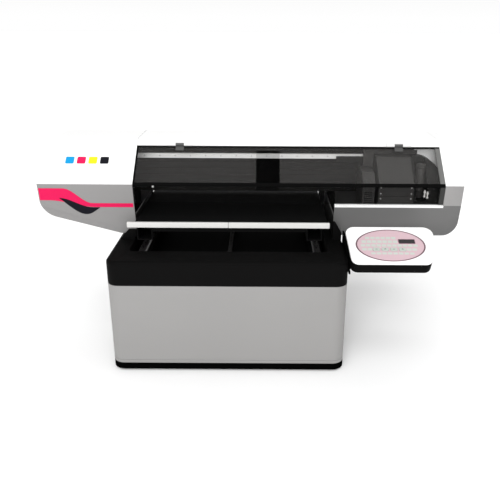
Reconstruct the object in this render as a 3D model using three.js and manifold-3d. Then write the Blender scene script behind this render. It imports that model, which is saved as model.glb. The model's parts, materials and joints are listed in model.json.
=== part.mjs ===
// Flatbed UV printer: a floor-standing cabinet, a gantry across it with two end housings and a
// tinted front cover, a carriage on the gantry's rail, a table that slides under the gantry, and a
// control panel at the right. Millimetres, +X right, +Y back, +Z up, origin on the floor at the
// centre of the machine's bounding box.
import * as THREE from 'three';
import { mergeVertices } from 'three/addons/utils/BufferGeometryUtils.js';
import Module from 'manifold-3d';

const wasm = await Module();
wasm.setup();

// ---------- driving dimensions ----------
const GAP = 0.3;
const HALF_LENGTH = 978;
const DEPTH = 1040;
const PANEL_OVERHANG = 12;
const HEIGHT = 975;

const BASE = { left: -626, right: 432, front: PANEL_OVERHANG - DEPTH / 2, back: DEPTH / 2, corner: 55 };
const BASE_CENTRE = (BASE.left + BASE.right) / 2;
const PLINTH = { bottom: 8, top: 40 };
const CABINET = { bottom: PLINTH.top + GAP, top: 423.7, wall: 3 };
const CHASSIS = { floor: 4, ring: 12, post: 40, postInset: 20, holeInset: 16, hole: [150, 960] };
const SERVICE = { left: -540, right: 346, bottom: 82, top: 388, edge: 2, sheet: 4 };
const RIM = { bottom: 424, straight: 522, top: 537, shoulder: 16 };
const GUSSET = {
  front: 290,
  back: 313,
  foot: 520,
  left: { outer: -612, lip: -576, inner: -536, low: 540, top: 580 },
  right: { outer: 428, lip: 398, inner: 387, low: 572, top: 622 },
};
const WELL = { left: -544, right: 350, front: 132, back: 1000, corner: 24 };
const FOOT = { inset: 75, stem: 10, pad: 35, neck: 28, rim: 4, hole: 11 };
const INLET = { x: 258, z: 148, width: 48, height: 30, depth: 38, socket: [13, 9, 18] };
const ROCKER = { x: 258, z: 196, width: 22, height: 28 };
const DECK_TOP = 430;

const RAIL = { offset: 410, width: 30, height: 28, seat: 470, seatHalf: 32, front: 145, back: 965 };
const SCREW = {
  radius: 10,
  journal: 7,
  journalLength: 24,
  z: 484,
  front: 152,
  back: 925,
};
const BEARING = { half: 30, thickness: 22, setback: 12, top: 512 };
const MOTOR = { half: 30, length: 66, foot: { half: 24, inset: 10 } };
const NUT = { half: 24, front: 708, back: 742, below: 22 };
const HANGER = { half: 30, margin: 3, lower: 5 };
const BLOWER = {
  x: 150,
  d: 300,
  radius: 92,
  width: 110,
  outlet: { length: 150, half: 50 },
  foot: { from: 10, to: 100, half: 70, height: 60 },
};
const TANKS = {
  left: -480,
  pitch: 72,
  count: 4,
  width: 60,
  front: 130,
  back: 310,
  height: 170,
  tray: { edge: 10, end: 12, height: 20 },
};
const CONTROL_BOX = { left: -400, right: 200, front: 620, back: 900, height: 150 };
const TABLE = { left: -530, right: 355, front: 240.3, back: 880, top: 640, thickness: 25 };
const TABLE_NOSE = { left: -565, right: 364, front: 225 };
const TABLE_FRAME = {
  offset: 395,
  half: 36,
  wall: 5,
  front: 262,
  back: 905,
  crossMembers: [262, 480, 700, 855],
  crossWidth: 50,
  crossHeight: 30,
};
const BLOCK = { width: 70, bottom: 478, top: 542, front: 655, back: 895 };

const CREASE = { d: 289, z: 802 };
const HOUSING_FOOT = { d: 330, z: 545 };
const HOUSING_KNEE = { d: 300, z: 705 };
const HOUSING_BACK = 760;
const LEFT_FOOT = { outer: 656, radius: 92, bend: -617, inner: 553 };
const END_CORNER = { top: 46, bottom: 78 };
const SLOPE = Math.tan(THREE.MathUtils.degToRad(40.3));
const WALL = 5;
const OPENING = { left: -541, right: 390, bottom: 648 };
const WINDOW = { right: 894, top: 460, bottom: 711, sheet: 5 };
const COVER = { sheet: 4, seam: 3, split: 945 };
const HINGE = { centre: 181, offset: 518, length: 116, radius: 7, pin: 2.5, leaf: 2.4, seam: 461 };
const KNOB = { x: -446, z: 793, radius: 5 };

const UPRIGHT = { width: 22, front: 530, back: 720, right: 420 };
const BEAM = { half: 930, front: 560, back: 660, bottom: 700.3, top: 900, wall: 7 };
const GROOVE = { lowest: 720, pitch: 32, count: 5, height: 9, depth: 5 };
const X_RAIL = { half: 925, bottom: 869, top: 893, front: 546 };
const X_MOTOR = { half: 26, height: 40, plate: 6, leg: 12, reach: 60 };
const PULLEY = { x: 900, d: 596, radius: 18, bottom: 905, height: 16 };
const BELT = 2;

const CARRIAGE = {
  left: 595,
  right: 905,
  bottom: 690,
  bend: 797,
  top: 903,
  front: 322,
  back: 514,
  shoulder: 112,
  pocketTop: 792,
};
const LAMP = {
  left: 520,
  right: 579,
  bottom: 660,
  bend: 805,
  top: 846,
  back: 500,
  mount: [720, 820],
};
const HEADS = { left: 622, right: 742, front: 375, back: 485, bottom: 655 };
const CARRIAGE_PLATE = {
  left: 545,
  right: 805,
  front: 515,
  back: 526,
  bottom: 700,
  shelf: 840,
  arm: { left: 650, right: 690, height: 9, rise: 14 },
};
const X_BLOCK = { left: 600, right: 740, over: 14 };
const CAP = { bottom: 602, top: 640 };

const PANEL = {
  tilt: 25,
  x: 440,
  d: -12,
  z: 544,
  width: 350,
  depth: 224,
  tray: 55,
  top: 12,
  wall: 4,
  skin: 4,
  flare: { near: -6, left: 14, right: 38 },
  corner: { near: 34, left: 40, right: 44 },
};
const KEYPAD = { x: 177, y: 106, rx: 153, ry: 97, segments: 36, top: 2 };
const DISPLAY = { left: 40, right: 108, low: 12, high: 34, corner: 3, top: 2.6 };
const BRACKET = {
  front: 22,
  back: 190,
  bottom: 476,
  web: 7.4,
  arm: 12,
  reach: 190,
  inset: 30,
  tail: { front: 220.5, back: 288, top: 585 },
};
const KEY = {
  count: 4,
  width: 30,
  depth: 20,
  pitch: 38,
  corner: 4,
  aside: 8,
  below: 26,
  slot: 0.5,
  stem: 3,
  top: 3.2,
};

// ---------- materials ----------
function material(color, roughness, metalness = 0) {
  return new THREE.MeshStandardMaterial({ color, roughness, metalness });
}

const whiteShell = material(0xf4f4f2, 0.35);
const silverSheet = material(0xacaaa6, 0.45, 0.3);
const blackShell = material(0x161616, 0.45);
const blackSteel = material(0x1d1d1f, 0.55, 0.4);
const aluminium = material(0xedece8, 0.3, 0.9);
const steel = material(0xb9bbbd, 0.25, 1);
const darkCasing = material(0x3d3b3b, 0.5);
const rubber = material(0x101010, 0.9);
const tinted = material(0x2e2d2c, 0.15);
tinted.transparent = true;
tinted.opacity = 0.6;
const keypadFilm = material(0xcfb6ba, 0.5);
const keyFilm = material(0x9fae9f, 0.5);
const displayGlass = material(0x1a1a1c, 0.2);

// ---------- geometry helpers ----------
const X_AXIS = new THREE.Vector3(1, 0, 0);
const Y_AXIS = new THREE.Vector3(0, 1, 0);
const Z_AXIS = new THREE.Vector3(0, 0, 1);
const FRAMES = {
  x: new THREE.Matrix4().makeBasis(Y_AXIS, Z_AXIS, X_AXIS),
  y: new THREE.Matrix4().makeBasis(X_AXIS, Z_AXIS, Y_AXIS.clone().negate()),
  z: new THREE.Matrix4(),
};

// Y of a plane that lies d behind the front of the base.
const behind = (d) => BASE.front + d;

// A closed triangle mesh as a solid: equal vertices are merged and empty triangles dropped.
function solid(geometry) {
  const bare = geometry.clone();
  bare.deleteAttribute('normal');
  bare.deleteAttribute('uv');
  const merged = mergeVertices(bare, 1e-4);
  const corners = [];
  for (let i = 0; i < merged.index.count; i += 3) {
    const [a, b, c] = merged.index.array.slice(i, i + 3);
    if (a !== b && b !== c && c !== a) {
      corners.push(a, b, c);
    }
  }
  const vertProperties = new Float32Array(merged.attributes.position.array);
  const triVerts = new Uint32Array(corners);
  return new wasm.Manifold(new wasm.Mesh({ numProp: 3, vertProperties, triVerts }));
}

function box(x0, x1, d0, d1, z0, z1) {
  const geometry = new THREE.BoxGeometry(x1 - x0, d1 - d0, z1 - z0);
  geometry.translate((x0 + x1) / 2, behind((d0 + d1) / 2), (z0 + z1) / 2);
  return solid(geometry);
}

// Box section open at both ends, its bore running front to back.
function boxTube(x0, x1, d0, d1, z0, z1, wall) {
  return cut(box(x0, x1, d0, d1, z0, z1), box(x0 + wall, x1 - wall, d0 - 1, d1 + 1, z0 + wall, z1 - wall));
}

// A corner list [u, v, radius] turned into points, with each radius drawn as an arc.
function roundedOutline(corners, step = 18) {
  const points = [];
  corners.forEach(([u, v, radius = 0], i) => {
    const corner = new THREE.Vector2(u, v);
    if (radius <= 0) {
      points.push(corner);
      return;
    }
    const last = corners.at(i - 1);
    const next = corners[(i + 1) % corners.length];
    const toLast = new THREE.Vector2(last[0], last[1]).sub(corner).normalize();
    const toNext = new THREE.Vector2(next[0], next[1]).sub(corner).normalize();
    const half = toLast.angleTo(toNext) / 2;
    const centre = toLast.clone().add(toNext).setLength(radius / Math.sin(half)).add(corner);
    const reach = radius / Math.tan(half);
    const start = toLast.clone().multiplyScalar(reach).add(corner).sub(centre);
    const end = toNext.clone().multiplyScalar(reach).add(corner).sub(centre);
    const sweep = Math.atan2(start.cross(end), start.dot(end));
    const steps = Math.max(1, Math.round(Math.abs(sweep) / THREE.MathUtils.degToRad(step)));
    for (let k = 0; k <= steps; k += 1) {
      const angle = start.angle() + (sweep * k) / steps;
      points.push(new THREE.Vector2(Math.cos(angle), Math.sin(angle)).multiplyScalar(radius).add(centre));
    }
  });
  return points;
}

// The same convex counter-clockwise corner list moved inwards by t.
function inset(corners, t) {
  return corners.map(([u, v, radius = 0], i) => {
    const last = corners.at(i - 1);
    const next = corners[(i + 1) % corners.length];
    const before = new THREE.Vector2(u - last[0], v - last[1]).normalize();
    const after = new THREE.Vector2(next[0] - u, next[1] - v).normalize();
    const shift = (t * (1 - before.dot(after))) / before.cross(after);
    const along = Math.abs(before.cross(after)) < 1e-9 ? 0 : shift;
    const moved = new THREE.Vector2(u, v)
      .add(new THREE.Vector2(-after.y, after.x).multiplyScalar(t))
      .addScaledVector(after, along);
    return [moved.x, moved.y, Math.max(radius - t, 0)];
  });
}

// An outline swept along an axis. Outlines are (y, z) along x, (x, z) along y and (x, y) along z.
function prism(corners, axis, from, to, step) {
  const shape = new THREE.Shape(roundedOutline(corners, step));
  const geometry = new THREE.ExtrudeGeometry(shape, { depth: to - from, bevelEnabled: false });
  geometry.translate(0, 0, axis === 'y' ? -to : from);
  return solid(geometry.applyMatrix4(FRAMES[axis]));
}

function rectangle(left, right, front, back, radius) {
  return [
    [left, front, radius],
    [right, front, radius],
    [right, back, radius],
    [left, back, radius],
  ];
}

function circle(u, v, radius, sides = 20) {
  return Array.from({ length: sides }, (_, i) => {
    const angle = (2 * Math.PI * i) / sides;
    return [u + radius * Math.cos(angle), v + radius * Math.sin(angle)];
  });
}

// A turned piece about Z from its (radius, height) profile, which starts and ends on the axis.
function turned(profile, sides = 24) {
  const points = profile.map(([r, z]) => new THREE.Vector2(r, z));
  return solid(new THREE.LatheGeometry(points, sides).rotateX(Math.PI / 2));
}

// Rings of equal point count, stacked in z and closed by a flat cap at each end.
function loft(levels) {
  const count = levels[0].points.length;
  const positions = levels.flatMap(({ points, z }) => points.flatMap((p) => [p.x, p.y, z]));
  const triangles = [];
  for (let level = 0; level < levels.length - 1; level += 1) {
    for (let i = 0; i < count; i += 1) {
      const a = level * count + i;
      const b = level * count + ((i + 1) % count);
      triangles.push(a, b, b + count, a, b + count, a + count);
    }
  }
  const caps = THREE.ShapeUtils.triangulateShape(levels[0].points, []);
  const top = (levels.length - 1) * count;
  for (const [a, b, c] of caps) {
    triangles.push(c, b, a, a + top, b + top, c + top);
  }
  const geometry = new THREE.BufferGeometry();
  geometry.setAttribute('position', new THREE.Float32BufferAttribute(positions, 3));
  geometry.setIndex(triangles);
  return solid(geometry);
}

function join(...solids) {
  return solids.reduce((sum, piece) => sum.add(piece));
}

function cut(body, ...tools) {
  return tools.reduce((left, tool) => left.subtract(tool), body);
}

// A named mesh made from a solid, placed at an optional position.
function piece(name, finish, body, position = [0, 0, 0]) {
  const { vertProperties, triVerts } = body.getMesh();
  const geometry = new THREE.BufferGeometry();
  geometry.setAttribute('position', new THREE.BufferAttribute(vertProperties, 3));
  geometry.setIndex(new THREE.BufferAttribute(triVerts, 1));
  geometry.computeVertexNormals();
  const mesh = new THREE.Mesh(geometry, finish);
  mesh.name = name;
  mesh.position.set(...position);
  return mesh;
}

function assembly(...pieces) {
  const group = new THREE.Group();
  group.add(...pieces);
  return group;
}

// ---------- base ----------
const baseOutline = rectangle(BASE.left, BASE.right, BASE.front, BASE.back, BASE.corner);
const footPlaces = [
  ['front_left', BASE.left + FOOT.inset, BASE.front + FOOT.inset],
  ['front_right', BASE.right - FOOT.inset, BASE.front + FOOT.inset],
  ['back_left', BASE.left + FOOT.inset, BASE.back - FOOT.inset],
  ['back_right', BASE.right - FOOT.inset, BASE.back - FOOT.inset],
];
const uprightLefts = [BASE.left + BASE.right - UPRIGHT.right, UPRIGHT.right - UPRIGHT.width];

// Space for an upright, with clearance all round, through whatever it passes.
function uprightSlot(left, clearance) {
  return box(
    left - clearance,
    left + UPRIGHT.width + clearance,
    UPRIGHT.front - clearance,
    UPRIGHT.back + clearance,
    RIM.bottom - 20,
    OPENING.bottom - 20,
  );
}

function levellingFeet() {
  const { stem, pad, neck, rim } = FOOT;
  const foot = turned([
    [0, 0],
    [pad, 0],
    [pad, rim],
    [neck, PLINTH.bottom - GAP],
    [stem, PLINTH.bottom - GAP],
    [stem, PLINTH.top - 2],
    [0, PLINTH.top - 2],
  ], 14);
  return footPlaces.map(([place, x, y]) => piece(`levelling_foot_${place}`, rubber, foot, [x, y, 0]));
}

function plinth() {
  const stemHoles = footPlaces.map(([, x, y]) => prism(circle(x, y, FOOT.hole), 'z', 0, CABINET.bottom));
  const slab = prism(baseOutline, 'z', PLINTH.bottom, PLINTH.top);
  return piece('plinth', blackShell, cut(slab, ...stemHoles));
}

// Welded frame inside the cabinet: floor plate, four posts and the ring that carries the deck.
function chassisFrame() {
  const inner = inset(baseOutline, CABINET.wall + 0.5);
  const ringBottom = CABINET.top - CHASSIS.ring;
  const floor = prism(inner, 'z', CABINET.bottom, CABINET.bottom + CHASSIS.floor);
  const ring = cut(
    prism(inner, 'z', ringBottom, CABINET.top),
    box(
      WELL.left + CHASSIS.holeInset,
      WELL.right - CHASSIS.holeInset,
      ...CHASSIS.hole,
      ringBottom - 1,
      CABINET.top + 1,
    ),
  );
  const posts = [];
  const { post, postInset } = CHASSIS;
  for (const x of [BASE.left + postInset, BASE.right - postInset - post]) {
    for (const d of [postInset, BASE.back - BASE.front - postInset - post]) {
      posts.push(box(x, x + post, d, d + post, CABINET.bottom + 1, CABINET.top - 1));
    }
  }
  return piece('chassis_frame', blackSteel, join(floor, ring, ...posts));
}

function cabinetShell() {
  const skin = cut(
    prism(baseOutline, 'z', CABINET.bottom, CABINET.top),
    prism(inset(baseOutline, CABINET.wall), 'z', 0, RIM.top),
    box(
      SERVICE.left,
      SERVICE.right,
      BASE.back - BASE.front - CABINET.wall - 1,
      BASE.back - BASE.front + 1,
      SERVICE.bottom,
      SERVICE.top,
    ),
  );
  return piece('cabinet_shell', silverSheet, skin);
}

function cabinetBackPanel() {
  const back = BASE.back - BASE.front;
  const halfGap = 0.6;
  const hole = ({ x, z, width, height }) =>
    box(
      x - width / 2 - halfGap,
      x + width / 2 + halfGap,
      back - 10,
      back + 10,
      z - height / 2 - halfGap,
      z + height / 2 + halfGap,
    );
  const { left, right, bottom, top, edge, sheet } = SERVICE;
  const door = box(
    left + edge,
    right - edge,
    back - sheet - 0.5,
    back - 0.5,
    bottom + edge,
    top - edge,
  );
  return piece('cabinet_back_panel', silverSheet, cut(door, hole(INLET), hole(ROCKER)));
}

function powerInlet() {
  const { x, z, width, height, depth } = INLET;
  const [halfWidth, halfHeight, recess] = INLET.socket;
  const back = BASE.back - BASE.front;
  const body = box(
    x - width / 2,
    x + width / 2,
    back - depth,
    back - 0.5,
    z - height / 2,
    z + height / 2,
  );
  const socket = box(x - halfWidth, x + halfWidth, back - recess, back + 5, z - halfHeight, z + halfHeight);
  return piece('power_inlet', blackShell, cut(body, socket));
}

// Rocker with its lower half pressed in at rest, turning about X.
function mainSwitch() {
  const half = ROCKER.height / 2 - 1;
  const face = [
    [-12, -half],
    [0.5, -half],
    [2, 0],
    [5.5, half],
    [-12, half - 4],
  ];
  const rocker = prism(face, 'x', -ROCKER.width / 2, ROCKER.width / 2);
  return piece('main_switch', blackShell, rocker, [ROCKER.x, BASE.back - 8, ROCKER.z]);
}

function deckPlate() {
  const plate = prism(
    rectangle(WELL.left + 2, WELL.right - 2, behind(WELL.front + 2), behind(WELL.back - 2), WELL.corner - 2),
    'z',
    RIM.bottom,
    DECK_TOP,
  );
  const seats = [-1, 1].map((side) => {
    const x = BASE_CENTRE + side * RAIL.offset;
    return box(x - RAIL.seatHalf, x + RAIL.seatHalf, RAIL.front, RAIL.back, DECK_TOP - 2, RAIL.seat);
  });
  return piece('deck_plate', blackSteel, join(plate, ...seats));
}

// Upstand on the rim in front of an end housing's foot.
function gusset({ outer, lip, inner, low, top }) {
  const outline = [
    [outer, GUSSET.foot],
    [inner, GUSSET.foot],
    [inner, top],
    [lip, top],
    [outer, low],
  ];
  return prism(outline, 'y', behind(GUSSET.front), behind(GUSSET.back));
}

// Moulded ring round the well, with a rounded shoulder and slots that the uprights pass through.
function topRim() {
  const levels = [{ points: roundedOutline(baseOutline, 15), z: RIM.bottom }];
  const steps = 5;
  for (let k = 0; k <= steps; k += 1) {
    const angle = (Math.PI / 2) * (k / steps);
    const t = RIM.shoulder * (1 - Math.cos(angle));
    const z = RIM.straight + (RIM.top - RIM.straight) * Math.sin(angle);
    levels.push({ points: roundedOutline(inset(baseOutline, t), 15), z });
  }
  const well = prism(
    rectangle(WELL.left, WELL.right, behind(WELL.front), behind(WELL.back), WELL.corner),
    'z',
    RIM.bottom - 10,
    RIM.top + 10,
  );
  const slots = uprightLefts.map((x) => uprightSlot(x, 0.5));
  const body = join(loft(levels), gusset(GUSSET.left), gusset(GUSSET.right));
  return piece('top_rim', blackShell, cut(body, well, ...slots));
}

function yRails() {
  const w = RAIL.width / 2;
  const h = RAIL.height;
  const profile = [
    [-w, 0],
    [w, 0],
    [w, h * 0.4],
    [w - 4, h * 0.55],
    [w, h * 0.7],
    [w, h],
    [-w, h],
    [-w, h * 0.7],
    [-w + 4, h * 0.55],
    [-w, h * 0.4],
  ];
  const rail = prism(profile, 'y', behind(RAIL.front), behind(RAIL.back));
  const z = RAIL.seat + GAP;
  return [
    piece('y_rail_left', steel, rail, [BASE_CENTRE - RAIL.offset, 0, z]),
    piece('y_rail_right', steel, rail, [BASE_CENTRE + RAIL.offset, 0, z]),
  ];
}

// Bearing block, motor and the screw between them, all on the machine's centre line.
function screwDrive() {
  const { journal, journalLength } = SCREW;
  const length = SCREW.back - SCREW.front;
  const screw = turned([
    [0, 0],
    [journal, 0],
    [journal, journalLength],
    [SCREW.radius, journalLength + 2],
    [SCREW.radius, length - journalLength - 2],
    [journal, length - journalLength],
    [journal, length + 10],
    [0, length + 10],
  ], 16).rotate([-90, 0, 0]);
  const screwPiece = piece('y_screw', steel, screw, [BASE_CENTRE, behind(SCREW.front), SCREW.z]);
  const bearingBlock = cut(
    box(-BEARING.half, BEARING.half, 0, BEARING.thickness, DECK_TOP + GAP, BEARING.top),
    prism(circle(0, SCREW.z, journal + 0.6), 'y', behind(-1), behind(BEARING.thickness + 1)),
  ).translate([0, -behind(BEARING.thickness / 2), 0]);
  const blockPlace = [BASE_CENTRE, behind(SCREW.front + BEARING.setback), 0];
  const frontBlock = piece('screw_bearing_front', aluminium, bearingBlock, blockPlace);
  const motor = cut(
    join(
      box(
        BASE_CENTRE - MOTOR.half,
        BASE_CENTRE + MOTOR.half,
        SCREW.back,
        SCREW.back + MOTOR.length,
        SCREW.z - MOTOR.half,
        SCREW.z + MOTOR.half,
      ),
      box(
        BASE_CENTRE - MOTOR.foot.half,
        BASE_CENTRE + MOTOR.foot.half,
        SCREW.back + MOTOR.foot.inset,
        SCREW.back + MOTOR.length - MOTOR.foot.inset,
        DECK_TOP + GAP,
        SCREW.z,
      ),
    ),
    prism(circle(BASE_CENTRE, SCREW.z, journal + 0.8), 'y', behind(SCREW.back - 5), behind(SCREW.back + 14)),
  );
  return [screwPiece, frontBlock, piece('y_motor', blackSteel, motor)];
}

// Pieces that stand on the chassis floor inside the cabinet.
function cabinetContents() {
  const floor = CABINET.bottom + CHASSIS.floor + GAP;
  const { x, d, radius, width, outlet, foot } = BLOWER;
  const axis = floor + radius + 4;
  const blower = join(
    prism(circle(behind(d), axis, radius, 24), 'x', x, x + width),
    box(x, x + outlet.length, d - outlet.half, d + outlet.half, axis, axis + radius),
    box(x + foot.from, x + foot.to, d - foot.half, d + foot.half, floor, floor + foot.height),
  );
  const { left, pitch, count, front, back, height, tray } = TANKS;
  const rowEnd = left + pitch * count + tray.end;
  const row = box(left, rowEnd, front - tray.edge, back + tray.edge, floor, floor + tray.height);
  const tanks = Array.from({ length: count }, (_, i) => {
    const side = left + tray.edge + pitch * i;
    return box(side, side + TANKS.width, front, back, floor + tray.edge, floor + height);
  });
  const controlBox = box(
    CONTROL_BOX.left,
    CONTROL_BOX.right,
    CONTROL_BOX.front,
    CONTROL_BOX.back,
    floor,
    floor + CONTROL_BOX.height,
  );
  return [
    piece('vacuum_blower', darkCasing, blower),
    piece('ink_tanks', darkCasing, join(row, ...tanks)),
    piece('control_box', blackSteel, controlBox),
  ];
}

const base = assembly(
  ...levellingFeet(),
  plinth(),
  chassisFrame(),
  cabinetShell(),
  cabinetBackPanel(),
  powerInlet(),
  mainSwitch(),
  deckPlate(),
  topRim(),
  ...yRails(),
  ...screwDrive(),
  ...cabinetContents(),
);

// ---------- table ----------
function tableFrame() {
  const { offset, half, wall, front, back, crossMembers, crossWidth, crossHeight } = TABLE_FRAME;
  const bottom = BLOCK.top + GAP;
  const top = TABLE.top - TABLE.thickness - GAP;
  const beams = [-1, 1].map((side) => {
    const x = BASE_CENTRE + side * offset;
    return boxTube(x - half, x + half, front, back, bottom, top, wall);
  });
  const reach = offset - half + wall / 2;
  const across = crossMembers.map((d) =>
    box(BASE_CENTRE - reach, BASE_CENTRE + reach, d, d + crossWidth, top - crossHeight, top),
  );
  const nutHanger = box(
    BASE_CENTRE - HANGER.half,
    BASE_CENTRE + HANGER.half,
    NUT.front - HANGER.margin,
    NUT.back + HANGER.margin,
    bottom,
    top - HANGER.lower,
  );
  return piece('table_frame', blackSteel, join(...beams, ...across, nutHanger));
}

function tableTop() {
  const z = TABLE.top - TABLE.thickness;
  const plate = box(TABLE.left, TABLE.right, TABLE.front, TABLE.back, z, TABLE.top);
  const nose = prism(
    [
      [behind(TABLE_NOSE.front), z, 3],
      [behind(TABLE.front - GAP), z],
      [behind(TABLE.front - GAP), TABLE.top],
      [behind(TABLE_NOSE.front), TABLE.top, 3],
    ],
    'x',
    TABLE_NOSE.left,
    TABLE_NOSE.right,
    45,
  );
  return [piece('table_plate', blackShell, plate), piece('table_nose', aluminium, nose)];
}

function tableBlocks() {
  const w = BLOCK.width / 2;
  const clear = RAIL.width / 2 + 0.8;
  const railTop = RAIL.seat + GAP + RAIL.height + 0.8;
  const saddle = prism(
    [
      [-w, BLOCK.bottom],
      [-clear, BLOCK.bottom],
      [-clear, railTop],
      [clear, railTop],
      [clear, BLOCK.bottom],
      [w, BLOCK.bottom],
      [w, BLOCK.top],
      [-w, BLOCK.top],
    ],
    'y',
    behind(BLOCK.front),
    behind(BLOCK.back),
  );
  return [
    piece('table_block_left', steel, saddle, [BASE_CENTRE - RAIL.offset, 0, 0]),
    piece('table_block_right', steel, saddle, [BASE_CENTRE + RAIL.offset, 0, 0]),
  ];
}

function screwNut() {
  const nut = cut(
    box(
      BASE_CENTRE - NUT.half,
      BASE_CENTRE + NUT.half,
      NUT.front,
      NUT.back,
      SCREW.z - NUT.below,
      BLOCK.top,
    ),
    prism(
      circle(BASE_CENTRE, SCREW.z, SCREW.radius + 1),
      'y',
      behind(NUT.front - 1),
      behind(NUT.back + 1),
    ),
  );
  return piece('screw_nut', steel, nut);
}

const table = assembly(tableFrame(), ...tableTop(), ...tableBlocks(), screwNut());

// ---------- gantry ----------
const roofCorner = CREASE.d + (HEIGHT - CREASE.z) / SLOPE;

// Side view of the whole gantry, counter-clockwise in (y, z).
const sideProfile = [
  [behind(HOUSING_FOOT.d), HOUSING_FOOT.z, 14],
  [behind(HOUSING_BACK), HOUSING_FOOT.z, 14],
  [behind(HOUSING_BACK), HEIGHT, 36],
  [behind(roofCorner), HEIGHT, 45],
  [behind(CREASE.d), CREASE.z, 6],
  [behind(HOUSING_KNEE.d), HOUSING_KNEE.z, 0],
];

// Front views of the two end housings, counter-clockwise in (x, z).
const leftFront = [
  [-HALF_LENGTH, LEFT_FOOT.outer, LEFT_FOOT.radius],
  [LEFT_FOOT.bend, LEFT_FOOT.inner, 20],
  [OPENING.left, LEFT_FOOT.inner],
  [OPENING.left, HEIGHT],
  [-HALF_LENGTH, HEIGHT, END_CORNER.top],
];
const rightFront = [
  [OPENING.right, HOUSING_FOOT.z],
  [HALF_LENGTH, HOUSING_FOOT.z, END_CORNER.bottom],
  [HALF_LENGTH, HEIGHT, END_CORNER.top],
  [OPENING.right, HEIGHT],
];

// Thin-walled casing: the space common to the side and front outlines, hollowed by the wall.
function casing(front) {
  const xs = front.map(([x]) => x);
  const outer = prism(sideProfile, 'x', Math.min(...xs), Math.max(...xs), 15)
    .intersect(prism(front, 'y', behind(0), behind(HOUSING_BACK + 10), 15));
  const hollow = prism(inset(sideProfile, WALL), 'x', Math.min(...xs) + WALL, Math.max(...xs) - WALL, 15)
    .intersect(prism(inset(front, WALL), 'y', behind(0), behind(HOUSING_BACK + 10), 15));
  return cut(outer, hollow);
}

function leftHousing() {
  const { left, bottom } = OPENING;
  const passage = prism(inset(sideProfile, WALL + 8), 'x', left - 20, left + 10)
    .intersect(box(left - 30, left + 20, 0, HOUSING_BACK, bottom, HEIGHT));
  const shell = cut(casing(leftFront), passage, uprightSlot(uprightLefts[0], 1));
  return piece('left_housing', whiteShell, shell);
}

// The right casing is cut away above its ledge as far as the window reaches.
function rightHousing() {
  const { right, bottom } = OPENING;
  const ledgeBack = CARRIAGE.front - 4;
  const ledgeTop = HOUSING_KNEE.z;
  const windowCut = box(right - 10, WINDOW.right, 0, HOUSING_BACK + 10, ledgeTop, HEIGHT + 10);
  const passage = box(right - 10, right + 20, ledgeBack, HOUSING_BACK - 20, bottom, HEIGHT);
  const ledge = box(right, WINDOW.right + 4, HOUSING_KNEE.d + 1, ledgeBack, ledgeTop - WALL, ledgeTop);
  const shell = join(cut(casing(rightFront), windowCut), ledge);
  return piece('right_housing', whiteShell, cut(shell, passage, uprightSlot(uprightLefts[1], 1)));
}

// Bent sheet that follows the side profile between two setbacks or heights.
function profileSheet(thickness, from, to, keep) {
  const skin = cut(
    prism(sideProfile, 'x', from, to, 15),
    prism(inset(sideProfile, thickness), 'x', from - 1, to + 1, 15),
  );
  return skin.intersect(keep);
}

const coverSpan = [OPENING.left + 1, WINDOW.right - 1];

function topCover() {
  const [from, to] = coverSpan;
  const keep = box(
    from - 5,
    to + 5,
    WINDOW.top + COVER.seam / 2,
    HOUSING_BACK + 5,
    COVER.split,
    HEIGHT + 5,
  );
  return piece('top_cover', whiteShell, profileSheet(COVER.sheet, from, to, keep));
}

function rearCover() {
  const [from, to] = coverSpan;
  const bottom = HOUSING_KNEE.z + 1;
  const sheet = box(from, to, HOUSING_BACK - COVER.sheet, HOUSING_BACK, bottom, COVER.split - GAP);
  return piece('rear_cover', whiteShell, sheet);
}

// Flat leaf of a hinge, running back up the slope, or forward down it where from is negative.
function leaf(length, from, to) {
  const plate = new THREE.BoxGeometry(length, to - from, HINGE.leaf);
  return solid(plate).translate([0, (from + to) / 2, HINGE.leaf / 2 - HINGE.radius]);
}

// Knuckle barrel in three: the outer two are on the roof's leaf, the middle one on the cover's.
function roofLeaf() {
  const { length, radius, pin } = HINGE;
  const barrel = prism(circle(0, 0, radius, 16), 'x', -length / 2, length / 2);
  const middle = solid(new THREE.BoxGeometry(length / 3 + 1, 2 * radius + 4, 2 * radius + 4));
  const knuckles = cut(join(barrel, leaf(length, 0, 26)), middle);
  const axle = prism(circle(0, 0, pin, 12), 'x', 2 - length / 2, length / 2 - 2);
  return join(knuckles, axle);
}

function coverLeaf() {
  const { length, radius, pin } = HINGE;
  const barrel = prism(circle(0, 0, radius, 16), 'x', -length / 6, length / 6);
  const bore = prism(circle(0, 0, pin + 0.5, 12), 'x', -length, length);
  return cut(join(barrel, leaf(length / 3, -30, 0)), bore);
}

// Both leaves of each hinge lie on the slope, over the seam between the roof and the cover.
function hingeLeaves(prefix, body) {
  const slope = Math.atan(SLOPE);
  const lift = HINGE.radius + GAP;
  const d = HINGE.seam - lift * Math.sin(slope);
  const z = CREASE.z + (HINGE.seam - CREASE.d) * SLOPE + lift * Math.cos(slope);
  const tilted = body.rotate([THREE.MathUtils.radToDeg(slope), 0, 0]);
  return [
    piece(`${prefix}_left`, blackSteel, tilted, [HINGE.centre - HINGE.offset, behind(d), z]),
    piece(`${prefix}_right`, blackSteel, tilted, [HINGE.centre + HINGE.offset, behind(d), z]),
  ];
}

// ---------- front cover ----------
function frontCover() {
  const [from, to] = coverSpan;
  const keep = box(from - 5, to + 5, 0, WINDOW.top - COVER.seam / 2, WINDOW.bottom, HEIGHT);
  return piece('front_cover', tinted, profileSheet(WINDOW.sheet, from, to, keep));
}

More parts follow.
